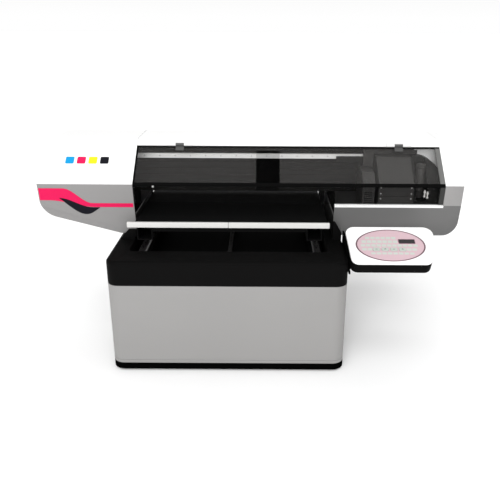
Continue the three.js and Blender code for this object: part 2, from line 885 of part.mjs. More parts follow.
function coverKnob() {
  const lean = (HOUSING_KNEE.d - CREASE.d) / (CREASE.z - HOUSING_KNEE.z);
  const face = CREASE.d + (CREASE.z - KNOB.z) * lean;
  const knob = turned([
    [0, 0],
    [KNOB.radius, 0],
    [KNOB.radius, 4],
    [KNOB.radius - 1, 6],
    [0, 7],
  ]).rotate([90, 0, 0]);
  return piece('cover_knob', aluminium, knob, [KNOB.x, behind(face - 1.6), KNOB.z]);
}

// ---------- beam and drive ----------
function uprights() {
  const plate = box(0, UPRIGHT.width, UPRIGHT.front, UPRIGHT.back, RIM.bottom, BEAM.bottom - GAP);
  const [left, right] = uprightLefts;
  return [
    piece('upright_left', blackSteel, plate, [left, 0, 0]),
    piece('upright_right', blackSteel, plate, [right, 0, 0]),
  ];
}

function gantryBeam() {
  const body = box(-BEAM.half, BEAM.half, BEAM.front, BEAM.back, BEAM.bottom, BEAM.top);
  const bore = box(
    -BEAM.half - 1,
    BEAM.half + 1,
    BEAM.front + BEAM.wall + GROOVE.depth,
    BEAM.back - BEAM.wall,
    BEAM.bottom + BEAM.wall,
    BEAM.top - BEAM.wall,
  );
  const grooves = Array.from({ length: GROOVE.count }, (_, i) => {
    const z = GROOVE.lowest + GROOVE.pitch * i;
    const back = BEAM.front + GROOVE.depth;
    return box(-BEAM.half - 1, BEAM.half + 1, BEAM.front - 1, back, z, z + GROOVE.height);
  });
  const idlerBore = prism(circle(PULLEY.x, behind(PULLEY.d), 5), 'z', BEAM.top - 20, BEAM.top + 5);
  return piece('gantry_beam', darkCasing, cut(body, bore, ...grooves, idlerBore));
}

function xRail() {
  const { half, front, bottom, top } = X_RAIL;
  return piece('x_rail', aluminium, box(-half, half, front, BEAM.front - GAP, bottom, top));
}

// Stadium-shaped belt round both pulleys, with its two straight runs along the beam.
function xBelt() {
  const outline = (r) => [
    [-PULLEY.x - r, behind(PULLEY.d) - r, r],
    [PULLEY.x + r, behind(PULLEY.d) - r, r],
    [PULLEY.x + r, behind(PULLEY.d) + r, r],
    [-PULLEY.x - r, behind(PULLEY.d) + r, r],
  ];
  const inner = PULLEY.radius + GAP;
  const bottom = PULLEY.bottom + 2.5;
  const top = PULLEY.bottom + PULLEY.height - 2.5;
  const outside = prism(outline(inner + BELT), 'z', bottom, top);
  const inside = prism(outline(inner), 'z', bottom - 1, top + 1);
  return piece('x_belt', rubber, cut(outside, inside));
}

function pulleys() {
  const { radius, height, bottom } = PULLEY;
  const wheel = (lower, upper) =>
    turned([
      [0, -lower],
      [4, -lower],
      [4, 0],
      [radius + 4, 0],
      [radius + 4, 2],
      [radius, 2],
      [radius, height - 2],
      [radius + 4, height - 2],
      [radius + 4, height],
      [4, height],
      [4, height + upper],
      [0, height + upper],
    ], 18);
  return [
    piece('drive_pulley', steel, wheel(0, 12), [-PULLEY.x, behind(PULLEY.d), bottom]),
    piece('idler_pulley', steel, wheel(18, 0), [PULLEY.x, behind(PULLEY.d), bottom]),
  ];
}

function xMotor() {
  const { half, height, plate, leg, reach } = X_MOTOR;
  const floor = PULLEY.bottom + PULLEY.height + 2;
  const x = -PULLEY.x;
  const body = join(
    box(x - half, x + half, PULLEY.d - half, PULLEY.d + half, floor, floor + height),
    box(x - half, x + half, PULLEY.d - half, PULLEY.d + reach, floor, floor + plate),
    box(x - half, x + half, PULLEY.d + reach - leg, PULLEY.d + reach, BEAM.top + GAP, floor + plate),
  );
  const bore = prism(circle(x, behind(PULLEY.d), 5), 'z', floor - 5, floor + 14);
  return piece('x_motor', blackSteel, cut(body, bore));
}

const gantry = assembly(
  ...uprights(),
  gantryBeam(),
  xRail(),
  xBelt(),
  ...pulleys(),
  xMotor(),
  leftHousing(),
  rightHousing(),
  topCover(),
  rearCover(),
  ...hingeLeaves('roof_hinge', roofLeaf()),
);
const cover = assembly(frontCover(), coverKnob(), ...hingeLeaves('cover_hinge', coverLeaf()));

// ---------- carriage ----------
function carriageHousing() {
  const { left, right, bottom, top, front, back } = CARRIAGE;
  const slantTop = front + (top - CARRIAGE.bend) / SLOPE;
  const side = [
    [behind(front), bottom, 8],
    [behind(back), bottom],
    [behind(back), top],
    [behind(slantTop), top, 12],
    [behind(front), CARRIAGE.bend, 12],
  ];
  const face = [
    [left, bottom],
    [right, bottom, 12],
    [right, top, CARRIAGE.shoulder],
    [left, top, 10],
  ];
  const body = prism(side, 'x', left, right).intersect(prism(face, 'y', behind(0), behind(back + 5), 15));
  const pocket = box(left + 12, right - 20, front + 14, back + 5, bottom - 5, CARRIAGE.pocketTop);
  return piece('carriage_housing', darkCasing, cut(body, pocket));
}

function carriagePlate() {
  const { left, right, front, back, bottom, shelf, arm: clamp } = CARRIAGE_PLATE;
  const beltFace = PULLEY.d - PULLEY.radius - BELT - 2 * GAP;
  const armBottom = X_RAIL.top + X_BLOCK.over + GAP;
  const plate = box(left, right, front, back, bottom, armBottom + clamp.rise);
  const arm = box(clamp.left, clamp.right, front, beltFace, armBottom, armBottom + clamp.height);
  const lampShelf = box(LAMP.left + 4, left + 5, front, back, bottom, shelf);
  return piece('carriage_plate', darkCasing, join(plate, arm, lampShelf));
}

function carriageBlock() {
  const { left, right, over } = X_BLOCK;
  const { bottom, top, front } = X_RAIL;
  const body = box(left, right, CARRIAGE_PLATE.back + GAP, BEAM.front - 2, bottom - over, top + over);
  const slot = box(left - 1, right + 1, front - 0.8, BEAM.front, bottom - 0.8, top + 0.8);
  return piece('carriage_block', steel, cut(body, slot));
}

function printHeads() {
  const { left, right, front, back, bottom } = HEADS;
  const pad = box(left - 6, right + 6, front - 6, back + 6, CARRIAGE.bottom + 2, CARRIAGE.bottom + 60);
  const count = 3;
  const pitch = (right - left) / count;
  const nozzles = Array.from({ length: count }, (_, i) =>
    box(left + i * pitch + 4, left + (i + 1) * pitch - 4, front, back, bottom, CARRIAGE.bottom + 10),
  );
  return piece('print_heads', blackSteel, join(pad, ...nozzles));
}

function uvLamp() {
  const { left, right, bottom, top, back } = LAMP;
  const front = CARRIAGE.front + 8;
  const side = [
    [behind(front), bottom, 4],
    [behind(back), bottom],
    [behind(back), top],
    [behind(front + (top - LAMP.bend) / SLOPE), top, 8],
    [behind(front), LAMP.bend, 8],
  ];
  const body = prism(side, 'x', left, right);
  const mount = box(left + 8, right - 8, back - 5, CARRIAGE_PLATE.front - GAP, ...LAMP.mount);
  return piece('uv_lamp', darkCasing, join(body, mount));
}

const carriage = assembly(carriagePlate(), carriageBlock(), carriageHousing(), printHeads(), uvLamp());

// ---------- cap station ----------
function capStation() {
  const floor = HOUSING_FOOT.z + WALL + GAP;
  const stand = cut(
    box(HEADS.left - 10, HEADS.right + 10, HEADS.front - 10, HEADS.back + 10, floor, CAP.bottom + 6),
    box(HEADS.left - 4, HEADS.right + 4, HEADS.front - 4, HEADS.back + 4, CAP.bottom - 20, CAP.top),
  );
  const tray = cut(
    box(HEADS.left - 3, HEADS.right + 3, HEADS.front - 3, HEADS.back + 3, CAP.bottom - 19, CAP.top),
    box(HEADS.left + 4, HEADS.right - 4, HEADS.front + 4, HEADS.back - 4, CAP.top - 8, CAP.top + 5),
  );
  return assembly(piece('cap_stand', blackSteel, stand), piece('cap_tray', rubber, tray));
}

// ---------- control panel ----------
// Local frame: x to the right, y up the slope, z out of the panel's face; tilted as one group.
const panelOutline = [
  [0, 0, PANEL.corner.near],
  [PANEL.width + PANEL.flare.near, 0, PANEL.corner.near],
  [PANEL.width + PANEL.flare.right, PANEL.depth, PANEL.corner.right],
  [-PANEL.flare.left, PANEL.depth, PANEL.corner.left],
];

// One key's shape about its own centre, grown all round for the hole that it moves in.
function keyPrism(grow, from, to) {
  const x = KEY.width / 2 + grow;
  const y = KEY.depth / 2 + grow;
  return prism(rectangle(-x, x, -y, y, KEY.corner), 'z', from, to, 45);
}

function controlPanel() {
  const { tray, top, wall, skin } = PANEL;
  const group = new THREE.Group();
  group.position.set(PANEL.x, behind(PANEL.d), PANEL.z);
  group.rotation.x = THREE.MathUtils.degToRad(PANEL.tilt);
  const trayBody = cut(
    prism(panelOutline, 'z', -tray - top, -top - GAP),
    prism(inset(panelOutline, wall), 'z', -tray - top + wall, top),
  );
  const lid = cut(
    prism(panelOutline, 'z', -top, 0),
    prism(inset(panelOutline, wall), 'z', -top - 1, -skin),
  );
  const oval = Array.from({ length: KEYPAD.segments }, (_, i) => {
    const angle = (2 * Math.PI * i) / KEYPAD.segments;
    return [KEYPAD.x + KEYPAD.rx * Math.cos(angle), KEYPAD.y + KEYPAD.ry * Math.sin(angle)];
  });
  const keyCentres = Array.from({ length: KEY.count }, (_, i) => [
    KEYPAD.x + (i - (KEY.count - 1) / 2) * KEY.pitch - KEY.aside,
    KEYPAD.y - KEY.below,
  ]);
  const keyHoles = keyCentres.map(([x, y]) => keyPrism(KEY.slot, -8, 8).translate([x, y, 0]));
  const display = rectangle(
    KEYPAD.x + DISPLAY.left,
    KEYPAD.x + DISPLAY.right,
    KEYPAD.y + DISPLAY.low,
    KEYPAD.y + DISPLAY.high,
    DISPLAY.corner,
  );
  const film = cut(
    prism(oval, 'z', GAP, KEYPAD.top),
    ...keyHoles,
    prism(display, 'z', -1, 8, 45),
  );
  const key = keyPrism(0, -KEY.stem, KEY.top);
  group.add(
    piece('panel_tray', blackShell, trayBody),
    piece('panel_top', whiteShell, cut(lid, ...keyHoles)),
    piece('panel_keypad', keypadFilm, film),
    piece('panel_display', displayGlass, prism(inset(display, 0.5), 'z', GAP, DISPLAY.top, 45)),
    ...keyCentres.map(([x, y], i) => piece(`panel_key_${i + 1}`, keyFilm, key, [x, y, 0])),
  );
  return group;
}

// Web on the cabinet's side that carries the tray, with a shelf under the tray.
function panelBracket() {
  const { front, back, bottom, web, arm, reach, tail } = BRACKET;
  const tilt = THREE.MathUtils.degToRad(PANEL.tilt);
  const depth = PANEL.tray + PANEL.top;
  const underside = (d) =>
    PANEL.z - depth * Math.cos(tilt) + (d - PANEL.d - depth * Math.sin(tilt)) * Math.tan(tilt);
  const left = BASE.right + GAP;
  const side = [
    [behind(front), bottom],
    [behind(tail.back), bottom],
    [behind(tail.back), tail.top],
    [behind(tail.front), tail.top],
    [behind(tail.front), underside(back)],
    [behind(back), underside(back) - 2 * GAP],
    [behind(front), underside(front) - 2 * GAP],
  ];
  const shelfFront = front + BRACKET.inset;
  const shelfBack = back - BRACKET.inset;
  const shelf = [
    [behind(shelfFront), underside(shelfFront) - arm],
    [behind(shelfBack), underside(shelfBack) - arm],
    [behind(shelfBack), underside(shelfBack) - 2 * GAP],
    [behind(shelfFront), underside(shelfFront) - 2 * GAP],
  ];
  return piece(
    'panel_bracket',
    blackSteel,
    join(prism(side, 'x', left, left + web), prism(shelf, 'x', left, left + reach)),
  );
}

const printer = new THREE.Group();
printer.add(base, table, gantry, cover, carriage, capStation(), controlPanel(), panelBracket());

export default printer;
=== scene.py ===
"""Looks of the flatbed UV printer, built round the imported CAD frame. Metres, +Z up, +Y back."""

import json
import math

import bmesh
import bpy
from mathutils import Matrix, Vector

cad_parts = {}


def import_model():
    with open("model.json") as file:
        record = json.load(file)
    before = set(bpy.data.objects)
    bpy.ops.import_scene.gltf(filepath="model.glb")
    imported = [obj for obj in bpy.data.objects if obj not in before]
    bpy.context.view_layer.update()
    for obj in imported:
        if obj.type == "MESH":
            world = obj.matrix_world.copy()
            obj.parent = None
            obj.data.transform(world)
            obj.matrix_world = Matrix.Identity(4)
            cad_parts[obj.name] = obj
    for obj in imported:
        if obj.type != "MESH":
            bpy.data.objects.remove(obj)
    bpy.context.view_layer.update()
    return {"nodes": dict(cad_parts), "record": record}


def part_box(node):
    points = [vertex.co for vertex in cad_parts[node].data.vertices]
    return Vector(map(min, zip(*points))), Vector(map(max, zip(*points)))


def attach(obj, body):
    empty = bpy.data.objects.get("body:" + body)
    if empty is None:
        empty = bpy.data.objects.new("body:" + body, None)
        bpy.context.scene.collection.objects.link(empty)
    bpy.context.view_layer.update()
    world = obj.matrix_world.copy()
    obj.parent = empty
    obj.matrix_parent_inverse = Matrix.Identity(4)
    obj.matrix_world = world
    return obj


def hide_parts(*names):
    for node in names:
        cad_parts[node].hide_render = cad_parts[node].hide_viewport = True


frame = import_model()
NODES = frame["nodes"]
BODIES = frame["record"]["behaviour"]["bodies"]
BODY_OF = {node: body for body, members in BODIES.items() for node in members}
SLOT_OF = {s["node"]: s["material_slot"] for s in frame["record"]["subparts"]}

MM = 0.001
SHARP_ANGLE = 32
BASE_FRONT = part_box("plinth")[0].y

# Side view of the gantry's front, as (setback from the base's front, height) in millimetres.
CREASE = (289.0, 802.0)
KNEE = (300.0, 705.0)
FOOT = (330.0, 545.0)
ROOF_SLOPE = math.radians(40.3)

# The control panel's own frame: origin at its front left corner, tilted back.
PANEL_ORIGIN = Vector((0.440, BASE_FRONT - 12 * MM, 0.544))
PANEL_TILT = math.radians(25)
PANEL_FRAME = Matrix.Translation(PANEL_ORIGIN) @ Matrix.Rotation(PANEL_TILT, 4, "X")


def behind(setback_mm):
    """Y of a plane this many millimetres behind the front of the base."""
    return BASE_FRONT + setback_mm * MM


def add_object(name, data):
    """A new object in the scene for a mesh, a light or a camera."""
    obj = bpy.data.objects.new(name, data)
    bpy.context.scene.collection.objects.link(obj)
    return obj


# ---- materials
def set_inputs(node, values):
    for socket, value in values.items():
        node.inputs[socket].default_value = value


def feed(tree, socket, value):
    """Gives a socket a fixed number or colour, or links another socket to it."""
    if isinstance(value, tuple):
        socket.default_value = (*value, 1.0)
    elif isinstance(value, float):
        socket.default_value = value
    else:
        tree.links.new(value, socket)


def new_material(name):
    """A node material with a Principled shader and object coordinates. Returns the tree's parts."""
    mat = bpy.data.materials.new(name)
    mat.use_nodes = True
    tree = mat.node_tree
    shader = tree.nodes["Principled BSDF"]
    coords = tree.nodes.new("ShaderNodeTexCoord").outputs["Object"]
    return mat, tree, shader, coords


def noise(tree, coords, scale, detail=3.0, stretch=None):
    """A noise texture's factor, optionally with its coordinates stretched first."""
    if stretch is not None:
        mapping = tree.nodes.new("ShaderNodeMapping")
        set_inputs(mapping, {"Scale": stretch})
        tree.links.new(coords, mapping.inputs["Vector"])
        coords = mapping.outputs["Vector"]
    node = tree.nodes.new("ShaderNodeTexNoise")
    set_inputs(node, {"Scale": scale, "Detail": detail})
    tree.links.new(coords, node.inputs["Vector"])
    return node.outputs["Fac"]


def spread(tree, factor, low, high, start=0.3, end=0.7):
    """Maps a factor onto low..high and returns the socket."""
    node = tree.nodes.new("ShaderNodeMapRange")
    set_inputs(node, {"From Min": start, "From Max": end, "To Min": low, "To Max": high})
    tree.links.new(factor, node.inputs["Value"])
    return node.outputs["Result"]


def blend_colours(tree, factor, first, second):
    """Mixes two colours by a factor socket."""
    node = tree.nodes.new("ShaderNodeMix")
    node.data_type = "RGBA"
    feed(tree, node.inputs[6], first)
    feed(tree, node.inputs[7], second)
    feed(tree, node.inputs["Factor"], factor)
    return node.outputs[2]


def bump(tree, shader, height, strength, distance):
    node = tree.nodes.new("ShaderNodeBump")
    set_inputs(node, {"Strength": strength, "Distance": distance})
    tree.links.new(height, node.inputs["Height"])
    tree.links.new(node.outputs["Normal"], shader.inputs["Normal"])


def maths(tree, operation, first, second):
    node = tree.nodes.new("ShaderNodeMath")
    node.operation = operation
    feed(tree, node.inputs[0], first)
    feed(tree, node.inputs[1], second)
    return node.outputs[0]


def shades(colour, change):
    """A darker and a lighter version of a colour."""
    return tuple(c * (1 - change) for c in colour), tuple(min(1.0, c * (1 + change)) for c in colour)


def worn_edges(tree, colour, bright, amount=0.5):
    """Lightens a colour a little on convex edges, where handling polishes it."""
    pointiness = tree.nodes.new("ShaderNodeNewGeometry").outputs["Pointiness"]
    edge = spread(tree, pointiness, 0.0, amount, 0.52, 0.62)
    return blend_colours(tree, edge, colour, bright)


def coated(name, colour, roughness, grain, depth=0.2, gloss=0.5, drift=0.04, edge=0.25):
    """Paint or moulded plastic: fine grain in the surface, slow drift in colour, brighter edges."""
    mat, tree, shader, coords = new_material(name)
    slow = noise(tree, coords, 2.3, 2.0)
    body = blend_colours(tree, spread(tree, slow, 0, 1), *shades(colour, drift))
    polished = tuple(min(1.0, c * 1.6 + 0.002) for c in colour)
    tree.links.new(worn_edges(tree, body, polished, edge), shader.inputs["Base Color"])
    fine = noise(tree, coords, grain, 2.0)
    tree.links.new(spread(tree, fine, roughness * 0.86, roughness * 1.14), shader.inputs["Roughness"])
    set_inputs(shader, {"Specular IOR Level": gloss})
    bump(tree, shader, fine, depth, 0.0004)
    return mat


def vinyl(name, colour):
    return coated(name, colour, 0.4, 700, 0.03, drift=0.03, edge=0.0, gloss=0.2)


def brushed(name, colour, roughness, along="X", metal=1.0, contrast=0.12, gloss=0.5):
    """Drawn or ground metal, with fine lines along one axis."""
    mat, tree, shader, coords = new_material(name)
    stretch = {"X": (0.02, 1, 1), "Y": (1, 0.02, 1), "Z": (1, 1, 0.02)}[along]
    lines = noise(tree, coords, 900, 4.0, stretch)
    tone = blend_colours(tree, spread(tree, lines, 0, 1), *shades(colour, contrast))
    tree.links.new(tone, shader.inputs["Base Color"])
    tree.links.new(spread(tree, lines, roughness * 0.8, roughness * 1.25), shader.inputs["Roughness"])
    set_inputs(shader, {"Metallic": metal, "Specular IOR Level": gloss})
    bump(tree, shader, lines, 0.12, 0.0002)
    return mat


def tinted_sheet(name, colour, alpha, roughness=0.08, gloss=0.5):
    """Smoked clear sheet: dark, mostly see-through, with faint wipe marks in its gloss."""
    mat, tree, shader, coords = new_material(name)
    set_inputs(shader, {"Base Color": (*colour, 1.0), "Alpha": alpha, "IOR": 1.49})
    wipes = noise(tree, coords, 14, 4.0, (0.3, 1.0, 1.0))
    tree.links.new(spread(tree, wipes, roughness, roughness * 2.2), shader.inputs["Roughness"])
    set_inputs(shader, {"Specular IOR Level": gloss})
    return mat


def perforated(name, colour, roughness, pitch, radius):
    """Anodised table top with a square grid of small vacuum holes."""
    mat, tree, shader, coords = new_material(name)
    split = tree.nodes.new("ShaderNodeSeparateXYZ")
    tree.links.new(coords, split.inputs["Vector"])
    parts = []
    for axis in ("X", "Y"):
        cell = maths(tree, "PINGPONG", split.outputs[axis], pitch / 2)
        parts.append(maths(tree, "POWER", cell, 2.0))
    hole = spread(tree, maths(tree, "ADD", *parts), 0.0, 1.0, radius**2 * 0.7, radius**2)
    fine = noise(tree, coords, 1400, 2.0)
    body = blend_colours(tree, spread(tree, fine, 0, 1), tuple(c * 0.85 for c in colour), colour)
    tree.links.new(blend_colours(tree, hole, (0.002, 0.002, 0.002), body), shader.inputs["Base Color"])
    tree.links.new(spread(tree, fine, roughness * 0.85, roughness * 1.15), shader.inputs["Roughness"])
    set_inputs(shader, {"Specular IOR Level": 0.08})
    bump(tree, shader, hole, 0.6, 0.001)
    return mat


WHITE = coated("white_paint", (0.84, 0.84, 0.835), 0.36, 900, 0.04, drift=0.01, edge=0.0)
# Painted shade: grey copies of the white paint for the housings' lower faces, which lean down out of the
# light; the darker copy is for the face below the knee.
WHITE_PAINTED_SHADE = coated("white_paint_painted_shade", (0.215, 0.21, 0.208), 0.42, 900, 0.05, drift=0.02)
WHITE_DEEP_PAINTED_SHADE = coated("white_paint_deep_painted_shade", (0.098, 0.097, 0.096), 0.44, 900, 0.05, drift=0.03)
HINGE_DARK = coated("hinge_dark_paint", (0.07, 0.07, 0.069), 0.45, 900, 0.08, gloss=0.1)
HINGE_GREY = coated("hinge_grey_paint", (0.66, 0.66, 0.655), 0.4, 900, 0.05, drift=0.03)
# Painted shade for the housings' white walls that face the table.
INNER_WALL_PAINTED_SHADE = coated("inner_wall_painted_shade", (0.022, 0.022, 0.021), 0.5, 1100, 0.1, drift=0.06, gloss=0.15)
# Partly painted light: the plate's own white paint, made whiter than the housings' white to stand in for
# light it lacks in the shade behind the cover.
END_PLATE_WHITE_AND_PAINTED_LIGHT = coated("end_plate_white_and_painted_light", (0.95, 0.95, 0.945), 0.4, 900, 0.03, drift=0.01, edge=0.0)
PLINTH_BLACK = coated("plinth_black", (0.0012, 0.0012, 0.0012), 0.6, 1300, 0.1, gloss=0.0)
TRIM_WHITE = coated("sill_paint", (0.78, 0.78, 0.775), 0.36, 900, 0.04, drift=0.01, edge=0.0)
SILVER = coated("silver_powder_coat", (0.228, 0.224, 0.220), 0.5, 1500, 0.14, drift=0.02, gloss=0.4)
BLACK_SHELL = coated("black_moulding", (0.0034, 0.0033, 0.0033), 0.5, 1300, 0.22, gloss=0.016)
BLACK_STEEL = coated("black_painted_steel", (0.003, 0.003, 0.003), 0.5, 800, 0.12, gloss=0.004)
DARK_CASING = coated("dark_casing", (0.04, 0.038, 0.037), 0.42, 1200, 0.2, gloss=0.15)
CARRIAGE_PALE = coated("carriage_cover", (0.037, 0.036, 0.0345), 0.4, 1200, 0.14, gloss=0.15)
LAMP_CASING = coated("lamp_casing", (0.033, 0.032, 0.031), 0.4, 1200, 0.16, gloss=0.15)
BLACK_CASING = coated("black_casing", (0.01, 0.01, 0.0095), 0.4, 1200, 0.16, gloss=0.08)
BEAM_FINISH = brushed("beam_anodised", (0.009, 0.0086, 0.0082), 0.5, metal=0.0, contrast=0.25, gloss=0.06)
ALUMINIUM = brushed("bright_anodised", (0.95, 0.945, 0.93), 0.42, metal=0.0, contrast=0.02)
NOSE_FINISH = brushed("nose_anodised", (0.62, 0.615, 0.60), 0.4, metal=0.0, contrast=0.03)
STEEL = brushed("ground_steel", (0.50, 0.49, 0.49), 0.3, along="Y")
# Painted shade: the ball screw's steel is darkened to near black for the shade in the well under the table.
SCREW_STEEL_PAINTED_SHADE = brushed("screw_steel_painted_shade", (0.016, 0.0155, 0.015), 0.45, metal=0.0, gloss=0.08)
BRIGHT_METAL = brushed("nickel_plate", (0.95, 0.94, 0.91), 0.25, along="Z", metal=0.3, contrast=0.04)
RUBBER = coated("rubber", (0.008, 0.008, 0.008), 0.8, 500, 0.35, drift=0.15, gloss=0.1)
TABLE_TOP = perforated("table_anodised", (0.0026, 0.0026, 0.0027), 0.7, 0.025, 0.0013)
# One smoked sheet in two copies: the sloped upper pane's grey colour is painted reflection of the sky; the
# upright lower pane is near black and denser, as painted shade.
SMOKED_SHEET_PAINTED_REFLECTION = tinted_sheet("smoked_sheet_upper_painted_reflection", (0.14, 0.136, 0.132), 0.085, gloss=0.3)
SMOKED_SHEET_PAINTED_SHADE = tinted_sheet("smoked_sheet_lower_painted_shade", (0.003, 0.003, 0.003), 0.18, gloss=0.05)
FILM = tinted_sheet("dark_film", (0.0, 0.0, 0.0), 0.2, 0.5, 0.01)
COVER_FRAME = coated("cover_frame", (0.003, 0.003, 0.003), 0.5, 900, 0.08, gloss=0.008)
# Painted shade: grey strips at the cover's right end stand in for the shaded white wall behind the sheet;
# darker on the upright part.
COVER_EDGE_PAINTED_SHADE = coated("cover_edge_painted_shade", (0.125, 0.125, 0.122), 0.45, 900, 0.08, gloss=0.1)
COVER_EDGE_LOW_PAINTED_SHADE = coated("cover_edge_low_painted_shade", (0.034, 0.034, 0.033), 0.45, 900, 0.08, gloss=0.05)
KEYPAD = coated("keypad_film", (0.50, 0.355, 0.39), 0.5, 700, 0.05, drift=0.03)
KEYPAD_EDGE = coated("keypad_outline", (0.12, 0.07, 0.085), 0.45, 700, 0.05, gloss=0.2)
KEY_PRINT = coated("key_print", (0.40, 0.44, 0.40), 0.5, 700, 0.05, drift=0.05)
KEY_DARK = coated("key_legend", (0.08, 0.10, 0.09), 0.45, 700, 0.05)
DISPLAY = coated("display_glass", (0.010, 0.008, 0.010), 0.15, 300, 0.01, gloss=0.3)
MAGENTA = vinyl("magenta_vinyl", (0.62, 0.002, 0.075))
CYAN = vinyl("cyan_vinyl", (0.0, 0.27, 0.58))
YELLOW = vinyl("yellow_vinyl", (0.84, 0.68, 0.01))
BLACK_VINYL = coated("black_vinyl", (0.004, 0.004, 0.008), 0.45, 700, 0.03, edge=0.0, gloss=0.1)

FINISH_OF_SLOT = {
    "white_shell": WHITE,
    "silver_sheet": SILVER,
    "black_shell": BLACK_SHELL,
    "black_steel": BLACK_STEEL,
    "black_table": TABLE_TOP,
    "bright_aluminium": ALUMINIUM,
    "dark_beam": BEAM_FINISH,
    "bright_steel": STEEL,
    "dark_casing": DARK_CASING,
    "rubber": RUBBER,
    "tinted_sheet": SMOKED_SHEET_PAINTED_REFLECTION,
    "keypad_film": KEYPAD,
    "key_film": KEY_PRINT,
    "display": DISPLAY,
}


# ---- mesh helpers
def mesh_object(name, verts, faces):
    """A mesh object from points in metres, with its faces turned outwards."""
    mesh = bpy.data.meshes.new(name)
    mesh.from_pydata([tuple(v) for v in verts], [], faces)
    obj = add_object(name, mesh)
    edit(obj, lambda bm: bmesh.ops.recalc_face_normals(bm, faces=bm.faces))
    return obj


def edit(obj, change):
    """Runs change(bm) on the object's mesh."""
    bm = bmesh.new()
    bm.from_mesh(obj.data)
    change(bm)
    bm.to_mesh(obj.data)
    bm.free()
    obj.data.update()


def cut_level(bm, level, tolerance):
    """Cuts the mesh's faces along a level height, in millimetres."""
    geometry = bm.verts[:] + bm.edges[:] + bm.faces[:]
    place, up = (0, 0, level * MM), (0, 0, 1)
    bmesh.ops.bisect_plane(bm, geom=geometry, dist=tolerance, plane_co=place, plane_no=up)


def arc_corners(corners, step=6):
    """Corners (u, v, radius) as points, each radius drawn as an arc of small steps."""
    points = []
    for i, (u, v, radius) in enumerate(corners):
        corner = Vector((u, v))
        if radius <= 0:
            points.append(corner)
            continue
        to_last = (Vector(corners[i - 1][:2]) - corner).normalized()
        to_next = (Vector(corners[(i + 1) % len(corners)][:2]) - corner).normalized()
        half = to_last.angle(to_next) / 2
        centre = corner + (to_last + to_next).normalized() * (radius / math.sin(half))
        start = corner + to_last * (radius / math.tan(half)) - centre
        end = corner + to_next * (radius / math.tan(half)) - centre
        sweep = math.atan2(start.x * end.y - start.y * end.x, start.dot(end))
        steps = max(1, round(abs(sweep) / math.radians(step)))
        for k in range(steps + 1):
            angle = math.atan2(start.y, start.x) + sweep * k / steps
            points.append(centre + Vector((math.cos(angle), math.sin(angle))) * radius)
    return points


def inset(corners, t):
    """The same counter-clockwise corners, every side moved inwards by t."""
    moved = []
    for i, (u, v, radius) in enumerate(corners):
        corner = Vector((u, v))
        before = (corner - Vector(corners[i - 1][:2])).normalized()
        after = (Vector(corners[(i + 1) % len(corners)][:2]) - corner).normalized()
        turn = before.x * after.y - before.y * after.x
        along = 0 if abs(turn) < 1e-9 else t * (1 - before.dot(after)) / turn
        point = corner + Vector((-after.y, after.x)) * t + after * along
        moved.append((point.x, point.y, max(radius - t, 0)))
    return moved


def millimetres(corners, side_view=False):
    """Corners given in millimetres as metres; in a side view the first number is a setback."""
    return [(behind(u) if side_view else u * MM, v * MM, r * MM) for u, v, r in corners]


def rectangle(u0, u1, v0, v1, radius):
    """Its corners as (u, v, radius), counter-clockwise."""
    return [(u0, v0, radius), (u1, v0, radius), (u1, v1, radius), (u0, v1, radius)]


AXIS_POINT = {
    "x": lambda u, v, w: (w, u, v),
    "y": lambda u, v, w: (u, w, v),
    "z": lambda u, v, w: (u, v, w),
}


def prism(name, outline, axis, low, high):
    """An outline swept along an axis: (y, z) along x, (x, z) along y, (x, y) along z."""
    count = len(outline)
    at = AXIS_POINT[axis]
    verts = [at(p[0], p[1], w) for w in (low, high) for p in outline]
    sides = [(i, (i + 1) % count, count + (i + 1) % count, count + i) for i in range(count)]
    return mesh_object(name, verts, [tuple(range(count)), tuple(range(count, 2 * count)), *sides])


def block(name, x0, x1, d0, d1, z0, z1):
    """A box from x0 to x1, setback d0 to d1 and z0 to z1, in millimetres."""
    outline = rectangle(x0 * MM, x1 * MM, behind(d0), behind(d1), 0)
    return prism(name, outline, "z", z0 * MM, z1 * MM)


def round_outline(u, v, radius, sides=24):
    turn = 2 * math.pi / sides
    return [(u + radius * math.cos(turn * k), v + radius * math.sin(turn * k)) for k in range(sides)]


def rings(name, levels, closed=False):
    """Stacked rings of equal point count; capped at both ends, or closed into a loop."""
    count = len(levels[0])
    verts = [p for ring in levels for p in ring]
    spans = len(levels) if closed else len(levels) - 1
    faces = []
    for i in range(spans):
        low = i * count
        high = ((i + 1) % len(levels)) * count
        for k in range(count):
            n = (k + 1) % count
            faces.append((low + k, low + n, high + n, high + k))
    if not closed:
        faces.append(tuple(range(count)))
        faces.append(tuple(range((len(levels) - 1) * count, len(levels) * count)))
    return mesh_object(name, verts, faces)


def apply_modifiers(obj):
    bpy.context.view_layer.update()
    depsgraph = bpy.context.evaluated_depsgraph_get()
    mesh = bpy.data.meshes.new_from_object(obj.evaluated_get(depsgraph))
    obj.modifiers.clear()
    obj.data = mesh
    return obj


def boolean(obj, tools, operation="DIFFERENCE"):
    """Cuts, joins or intersects the tools with obj and removes them."""
    for tool in tools:
        modifier = obj.modifiers.new("boolean", "BOOLEAN")
        modifier.operation = operation
        modifier.solver = "EXACT"
        modifier.object = tool
    apply_modifiers(obj)
    for tool in tools:
        bpy.data.objects.remove(tool)
    return obj


def merged(name, objects):
    """Several objects of one material as one object."""
    bm = bmesh.new()
    for obj in objects:
        bm.from_mesh(obj.data)
        bpy.data.objects.remove(obj)
    mesh = bpy.data.meshes.new(name)
    bm.to_mesh(mesh)
    bm.free()
    return add_object(name, mesh)


def clean(obj, angle=0.5):
    """Welds doubled points and merges flat regions into single faces."""

    def change(bm):
        bmesh.ops.remove_doubles(bm, verts=bm.verts, dist=1e-5)
        limit = math.radians(angle)
        bmesh.ops.dissolve_limit(bm, angle_limit=limit, verts=bm.verts, edges=bm.edges)

    edit(obj, change)
    return obj


